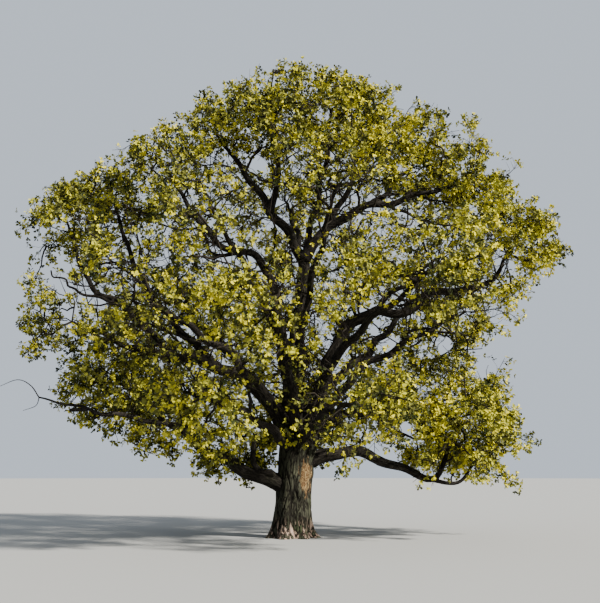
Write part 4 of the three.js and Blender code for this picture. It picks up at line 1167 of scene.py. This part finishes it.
fineTwigs = []  # start, bend, end and spray of every fine twig
for index, (base, tip, roll, own, fullness) in enumerate(sprays):
    length = farApart(base, tip)
    along = (tip - base) / length
    level = unit(np.cross(up, along))
    out = np.cross(along, level)
    across = level * math.cos(roll) + out * math.sin(roll)
    out = np.cross(along, across)
    marks = np.linspace(0, 1, fineForm["axisSteps"] + 1)
    sway = fineRandom.normal(size=(len(marks), 2)) * fineForm["axisSway"] * length
    sway[0] = 0
    axis = base + np.outer(marks * length, along) + sway[:, :1] * across + sway[:, 1:] * out
    radii = fineForm["axisFoot"] + (fineForm["axisTip"] - fineForm["axisFoot"]) * marks
    count = max(2, round(fineForm["twigs"] * fullness * (length / fineForm["usual"]) ** fineForm["growth"]))
    ways = unit(fineRandom.normal(size=(count * fineForm["candidates"], 3)))
    sizes = fineRandom.uniform(fineForm["core"], 1, size=(len(ways), 1))
    oval = ways * sizes * np.array(fineForm["oval"]) * length
    middle = base + along * length * fineForm["centre"]
    places = middle + oval @ np.array([along, across, out])
    kept = (places[:, 2] > fineForm["lowest"]) & (places[:, 2] < fineForm["highest"]) & awayFromWindows(places)
    kept &= abs(places[:, 0]) < fineForm["widest"]
    if own:
        kept &= inMass(places, own, fineForm["margin"])
    places = places[kept]
    if not len(places):
        continue
    for i in range(fineForm["axisSteps"]):
        twigBones.append((axis[i], axis[i + 1], radii[i], radii[i + 1]))
    places = spreadOut(places, count)
    ahead = (places - base) @ along
    aside = np.linalg.norm(places - base - np.outer(ahead, along), axis=1)
    leave = np.clip((ahead - fineForm["lead"] * aside) / length, *fineForm["leave"])
    starts = np.stack([np.interp(leave, marks, axis[:, k]) for k in range(3)], axis=1)
    spans = np.linalg.norm(places - starts, axis=1, keepdims=True)
    ways = along + fineRandom.normal(size=(len(places), 3)) * fineForm["bendSpread"]
    bends = starts + ways * spans * fineForm["bendAt"]
    for start, bend, end in zip(starts, bends, places):
        fineTwigs.append((start, bend, end, index))
fineStarts, fineBends, fineEnds, fineSpray = columns(fineTwigs)
print("fine twigs:", len(fineTwigs))


def bentPoint(t):
    if t == 1:
        return fineEnds
    return fineStarts * (1 - t) ** 2 + fineBends * 2 * t * (1 - t) + fineEnds * t ** 2


def bentWay(t):
    return unit((fineBends - fineStarts) * (1 - t) + (fineEnds - fineBends) * t + 1e-6)


# The crown is thinner deep inside than at its surface, and a share of the shoots keeps off the limbs that show.
opening = {
    "middle": (0, 0, 11.5), "radii": (14.2, 13.4, 13.0), "lowRadius": 9.0, "from": 0.46, "to": 0.86,
    "share": 0.26, "beside": 0.28, "before": 0.4, "lineStep": 0.2, "dead": 0.1,
    "bare": {"right_high": 0.25, "far_right_high": 0.15, "right_mid": 0.35, "left_crest": 0.3, "left_low": 0.75,
             "far_left_high": 0.3, "left_high": 0.3, "left_mid": 0.35, "left_shoulder": 0.35, "right_low": 0.1,
             "right_arch": 0.3, "back_right_mid": 0.5, "left_spur": 0, "right_fork": 0.25, "right_drop": 0.35,
             "right_rise": 0.4, "left_loop": 0.35, "left_arm": 0.35, "left_pole": 0.5, "right_arm": 0.4,
             "left_reach": 0.5, "left_crotch": 0.4, "crest_arm": 0.6, "right_low_arm": 0.4},
}


def depthShare(points):
    radii = np.tile(np.array(opening["radii"], float), (len(points), 1))
    radii[points[:, 2] < opening["middle"][2], 2] = opening["lowRadius"]
    outness = np.linalg.norm((points - opening["middle"]) / radii, axis=1)
    rise = np.clip((outness - opening["from"]) / (opening["to"] - opening["from"]), 0, 1)
    return opening["share"] + (1 - opening["share"]) * rise * rise * (3 - 2 * rise)


shownLimbs = [(limbs[name]["route"], limbs[name]["end"], limbs[name]["radiusAt"], kept)
              for name, kept in opening["bare"].items()]
shownLimbs.append((deadRoute, deadRoute.walked, deadRadius, opening["dead"]))


def bareShare(points):
    share = np.ones(len(points))
    seen = seenAt(points)
    for route, end, radiusAt, kept in shownLimbs:
        marks = np.arange(0, end, opening["lineStep"])
        line = np.array(pointsOn(route.line, marks))
        radii = np.array([radiusAt(float(mark)) for mark in marks])
        gaps = np.linalg.norm(seen[:, None] - seenAt(line)[None], axis=2) - radii
        nearest = gaps.argmin(axis=1)
        inFront = points[:, 1] < line[nearest, 1] + opening["before"]
        hides = inFront & (gaps.min(axis=1) < opening["beside"])
        share[hides] = np.minimum(share[hides], kept)
    return share


# Shoots leave the fine twigs on all sides. At the twig's end the rosette sits on the twig itself.
shootRows = []
for t in fineForm["shoots"]:
    point, way = bentPoint(t), bentWay(t)
    side = unit(np.cross(way, fineRandom.normal(size=way.shape)))
    spread = fineForm["spread" if t < 1 else "endSpread"]
    heading = unit(way + side * spread + upward * fineForm["rise"])
    length = fineRandom.uniform(*fineForm["shootLength"], size=(len(point), 1))
    shootRows.append((point, point + heading * length, heading, np.arange(len(point)), np.full(len(point), t)))
shootColumns = [np.concatenate(column) for column in zip(*shootRows)]
shootEnd = shootColumns[1]
shootShare = windowShare(shootEnd) * depthShare(shootEnd) * bareShare(shootEnd)
shootShare[(shootEnd[:, 2] < fineForm["lowest"]) | (shootEnd[:, 2] > fineForm["highest"])] = 0
shootKept = fineRandom.random(len(shootEnd)) < shootShare
shootStart, shootEnd, shootWay, shootTwig, shootPlace = (column[shootKept] for column in shootColumns)
print("shoots:", len(shootStart))


# Many copies of one small shape as one mesh: the places of each corner in turn, and the faces of one copy.
def manyMesh(name, corners, faces):
    points = np.stack(corners, axis=1).reshape(-1, 3)
    faces = (np.arange(len(corners[0]))[:, None, None] * len(corners) + np.array(faces)).reshape(-1, 3)
    mesh = bpy.data.meshes.new(name)
    mesh.vertices.add(len(points))
    mesh.vertices.foreach_set("co", np.ascontiguousarray(points, np.float32).ravel())
    mesh.loops.add(faces.size)
    mesh.loops.foreach_set("vertex_index", np.ascontiguousarray(faces, np.int32).ravel())
    mesh.polygons.add(len(faces))
    mesh.polygons.foreach_set("loop_start", np.arange(0, faces.size, 3, dtype=np.int32))
    mesh.update(calc_edges=True)
    return mesh


# A ring of corners round each centre, square to its way.
def ringRound(way, centres, radii, sides):
    side = unit(np.cross(way, np.where(abs(way[:, 2:]) < 0.9, upward, (1.0, 0.0, 0.0))))
    across = np.cross(way, side)
    turns = np.arange(sides) * 2 * math.pi / sides
    return [centres + (side * math.cos(turn) + across * math.sin(turn)) * radii for turn in turns]


# Stretches of twig as tubes, open at both ends: each starts inside the one before it.
twigLook = {"overlap": 0.35, "thick": 0.034, "branchSides": 6, "sides": 3}


def twigMesh(name, starts, ends, startRadii, endRadii, sides):
    way = unit(ends - starts)
    corners = []
    for centre, radius, sign in ((starts, startRadii, -1), (ends, endRadii, 1)):
        middle = centre + way * radius[:, None] * twigLook["overlap"] * sign
        corners += ringRound(way, middle, radius[:, None], sides)
    faces = [(k, (k + 1) % sides, (k + 1) % sides + sides) for k in range(sides)]
    faces += [(k, (k + 1) % sides + sides, k + sides) for k in range(sides)]
    return manyMesh(name, corners, faces)


# A shoot is a slim three-sided point.
def shootMesh(name, starts, ends, radius):
    corners = [*ringRound(unit(ends - starts), starts, radius, 3), ends]
    return manyMesh(name, corners, [(0, 1, 3), (1, 2, 3), (2, 0, 3)])


boneRows = list(columns(twigBones))
thickBones = boneRows[2] > twigLook["thick"]
for name, chosen, sides in (("branches", thickBones, "branchSides"), ("twigs", ~thickBones, "sides")):
    mesh = twigMesh(name, *(column[chosen] for column in boneRows), twigLook[sides])
    mesh.shade_smooth()
    keepPiece(name, mesh, shadedTwigBark, leafNodes)


# The chosen stretches as columns, with one radius for all their feet and one for all their tips.
def stretchesOf(chosen, starts, ends, foot, tip):
    count = int(chosen.sum())
    return starts[chosen], ends[chosen], np.full(count, foot), np.full(count, tip)


# Long fine twigs are bent, short ones straight.
longTwig = np.linalg.norm(fineEnds - fineStarts, axis=1) > fineForm["straight"]
halfway = bentPoint(0.5)
halfRadius = (fineForm["foot"] + fineForm["tip"]) / 2
fineStretches = zip(stretchesOf(longTwig, fineStarts, halfway, fineForm["foot"], halfRadius),
                    stretchesOf(longTwig, halfway, fineEnds, halfRadius, fineForm["tip"]),
                    stretchesOf(~longTwig, fineStarts, fineEnds, fineForm["foot"], fineForm["tip"]))
fineMesh = twigMesh("fine_twigs", *(np.concatenate(column) for column in fineStretches), twigLook["sides"])
keepPiece("fine_twigs", fineMesh, shadedTwigBark, leafNodes)
stalks = shootPlace < 1
stalkMesh = shootMesh("shoots", shootStart[stalks], shootEnd[stalks], fineForm["tip"] * fineForm["shootTaper"])
keepPiece("shoots", stalkMesh, shadedTwigBark, leafNodes)
print("twigs made")


# A leaf with a lobed outline, folded along its middle: its outline from the stalk to the point, for one side.
leafLook = {
    "outline": [(0.37, 0.19), (0.74, 0.31)], "fold": 0.3, "droop": 0.16, "length": (0.14, 0.215),
    "perShoot": 4, "firstTurn": 6.3, "around": 2.4, "unevenTurn": 0.25, "tilt": (0.55, 1.35), "sag": 0.25,
    "back": 0.35, "faceUp": 0.6, "faceTurn": 0.35, "seed": 99,
}
# The tints run from gold down to near-black moss: partly the leaves' own uneven colour, and the darkest ones
# partly painted shade for leaves deep in shade.
leafTints = {
    "gold": ((0.51, 0.455, 0.03), (0.48, 0.41, 0.02)),
    "fresh": ((0.37, 0.35, 0.03), (0.35, 0.32, 0.02)),
    "spring": ((0.255, 0.252, 0.03), (0.27, 0.26, 0.02)),
    "olive": ((0.155, 0.155, 0.025), (0.17, 0.165, 0.018)),
    "bronze": ((0.075, 0.076, 0.013), (0.1, 0.09, 0.014)),
    "moss": ((0.024, 0.03, 0.007), (0.04, 0.044, 0.009)),
}
leafShine = {
    "roughness": 0.6, "shine": 0.08, "through": 0.12, "toneScale": 0.3, "toneMix": 0.2, "paintedSideLight": 0.004,
    "toneSpray": 0.08, "toneTwig": 0.16, "toneShoot": 0.26,
}
leafRandom = np.random.default_rng(leafLook["seed"])
perShoot = leafLook["perShoot"]
shootCount = len(shootStart)
azimuth = leafRandom.uniform(0, leafLook["firstTurn"], size=(shootCount, 1))
azimuth = np.arange(perShoot)[None] * leafLook["around"] + azimuth
azimuth = (azimuth + leafRandom.normal(size=azimuth.shape) * leafLook["unevenTurn"])[..., None]
tilt = leafRandom.uniform(*leafLook["tilt"], size=azimuth.shape)
side = unit(np.cross(shootWay, unit(leafRandom.normal(size=shootWay.shape))))
across = np.cross(shootWay, side)
radial = side[:, None] * np.cos(azimuth) + across[:, None] * np.sin(azimuth)
leafWay = shootWay[:, None] * np.cos(tilt) + radial * np.sin(tilt)
leafWay = unit(leafWay - upward * leafLook["sag"] * leafRandom.uniform(0, 1, size=tilt.shape))
back = leafRandom.uniform(0, leafLook["back"], size=tilt.shape)
leafBase = shootEnd[:, None] * (1 - back) + shootStart[:, None] * back
faceUp = shootWay[:, None] + upward * leafLook["faceUp"]
faceUp = faceUp + leafRandom.normal(size=leafWay.shape) * leafLook["faceTurn"]
leafSide = unit(np.cross(faceUp, leafWay))
leafUp = np.cross(leafWay, leafSide)
leafLength = leafRandom.uniform(*leafLook["length"], size=tilt.shape)
leafBase, leafWay, leafSide, leafUp, leafLength = (
    a.reshape(-1, a.shape[-1]) for a in (leafBase, leafWay, leafSide, leafUp, leafLength))

leafCorners = [(0, 0), *leafLook["outline"], (1, 0), *[(x, -y) for x, y in reversed(leafLook["outline"])]]
leafFaces = [(0, 2, 1), (0, 3, 2), (0, 5, 4), (0, 4, 3)]


def leafMesh(name, chosen):
    base, way, side, top, length = (a[chosen] for a in (leafBase, leafWay, leafSide, leafUp, leafLength))
    corners = []
    for x, y in leafCorners:
        height = abs(y) * leafLook["fold"] - x * x * leafLook["droop"]
        corners.append(base + (way * x + side * y + top * height) * length)
    return manyMesh(name, corners, leafFaces)


# Tints are dealt out by place, spray, fine twig and shoot, and each tint gets an even share of the leaves. The
# tones also lean brighter to the right and darker to the left: painted light on the sun's side and painted shade
# on the far side.
tones = []
for base, tip, *_ in sprays:
    middle = (base + tip) / 2
    wide = noise.noise(Vector(middle) * leafShine["toneScale"]) * leafShine["toneMix"]
    tones.append(wide - middle[0] * leafShine["paintedSideLight"] + leafRandom.normal() * leafShine["toneSpray"])
twigTones = np.array(tones)[fineSpray] + leafRandom.normal(size=len(fineSpray)) * leafShine["toneTwig"]
shootTones = twigTones[shootTwig] + leafRandom.normal(size=shootCount) * leafShine["toneShoot"]
leafTone = np.repeat(shootTones, perShoot)
ranks = np.argsort(np.argsort(leafTone, kind="stable"), kind="stable")
tintIndex = ranks * len(leafTints) // len(ranks)
for index, (tint, (colour, through)) in enumerate(leafTints.items()):
    name = "foliage_" + tint
    finish = leafFinish(tint + " leaves", colour, through, leafShine)
    keepPiece(name, leafMesh(name, tintIndex == index), finish, leafNodes)
print("leaves made:", len(leafTone))


# A plain pale floor, soft light from the sky, and the sun to the right, in front and high up.
studio = {
    "floor": 400.0, "floorColour": (0.25, 0.25, 0.24), "floorRoughness": 0.9, "floorShine": 0.5,
    "sky": (0.76, 0.85, 0.97), "skyStrength": 0.85,
    "sunStrength": 15.0, "sunAngle": 4, "sunFrom": (0.75, -0.46, 0.62), "sunColour": (1.0, 0.96, 0.88),
}
floorShape = bmesh.new()
bmesh.ops.create_circle(floorShape, cap_ends=True, segments=64, radius=studio["floor"])
floorMesh = bpy.data.meshes.new("floor")
floorShape.to_mesh(floorMesh)
floorShape.free()
floorFinish = Finish("floor")
floorFace = floorFinish.principled(studio["floorColour"], studio["floorRoughness"], studio["floorShine"])
floorMesh.materials.append(floorFinish.surface(floorFace))
floor = bpy.data.objects.new("floor", floorMesh)
bpy.context.scene.collection.objects.link(floor)

world = bpy.data.worlds.new("studio")
world.use_nodes = True
background = world.node_tree.nodes["Background"]
background.inputs["Color"].default_value = rgba(studio["sky"])
background.inputs["Strength"].default_value = studio["skyStrength"]
bpy.context.scene.world = world
sunData = bpy.data.lights.new("sun", "SUN")
sunData.energy = studio["sunStrength"]
sunData.angle = math.radians(studio["sunAngle"])
sunData.color = studio["sunColour"]
sun = bpy.data.objects.new("sun", sunData)
sun.rotation_mode = "QUATERNION"
sun.rotation_quaternion = Vector(studio["sunFrom"]).to_track_quat("Z", "Y")
bpy.context.scene.collection.objects.link(sun)
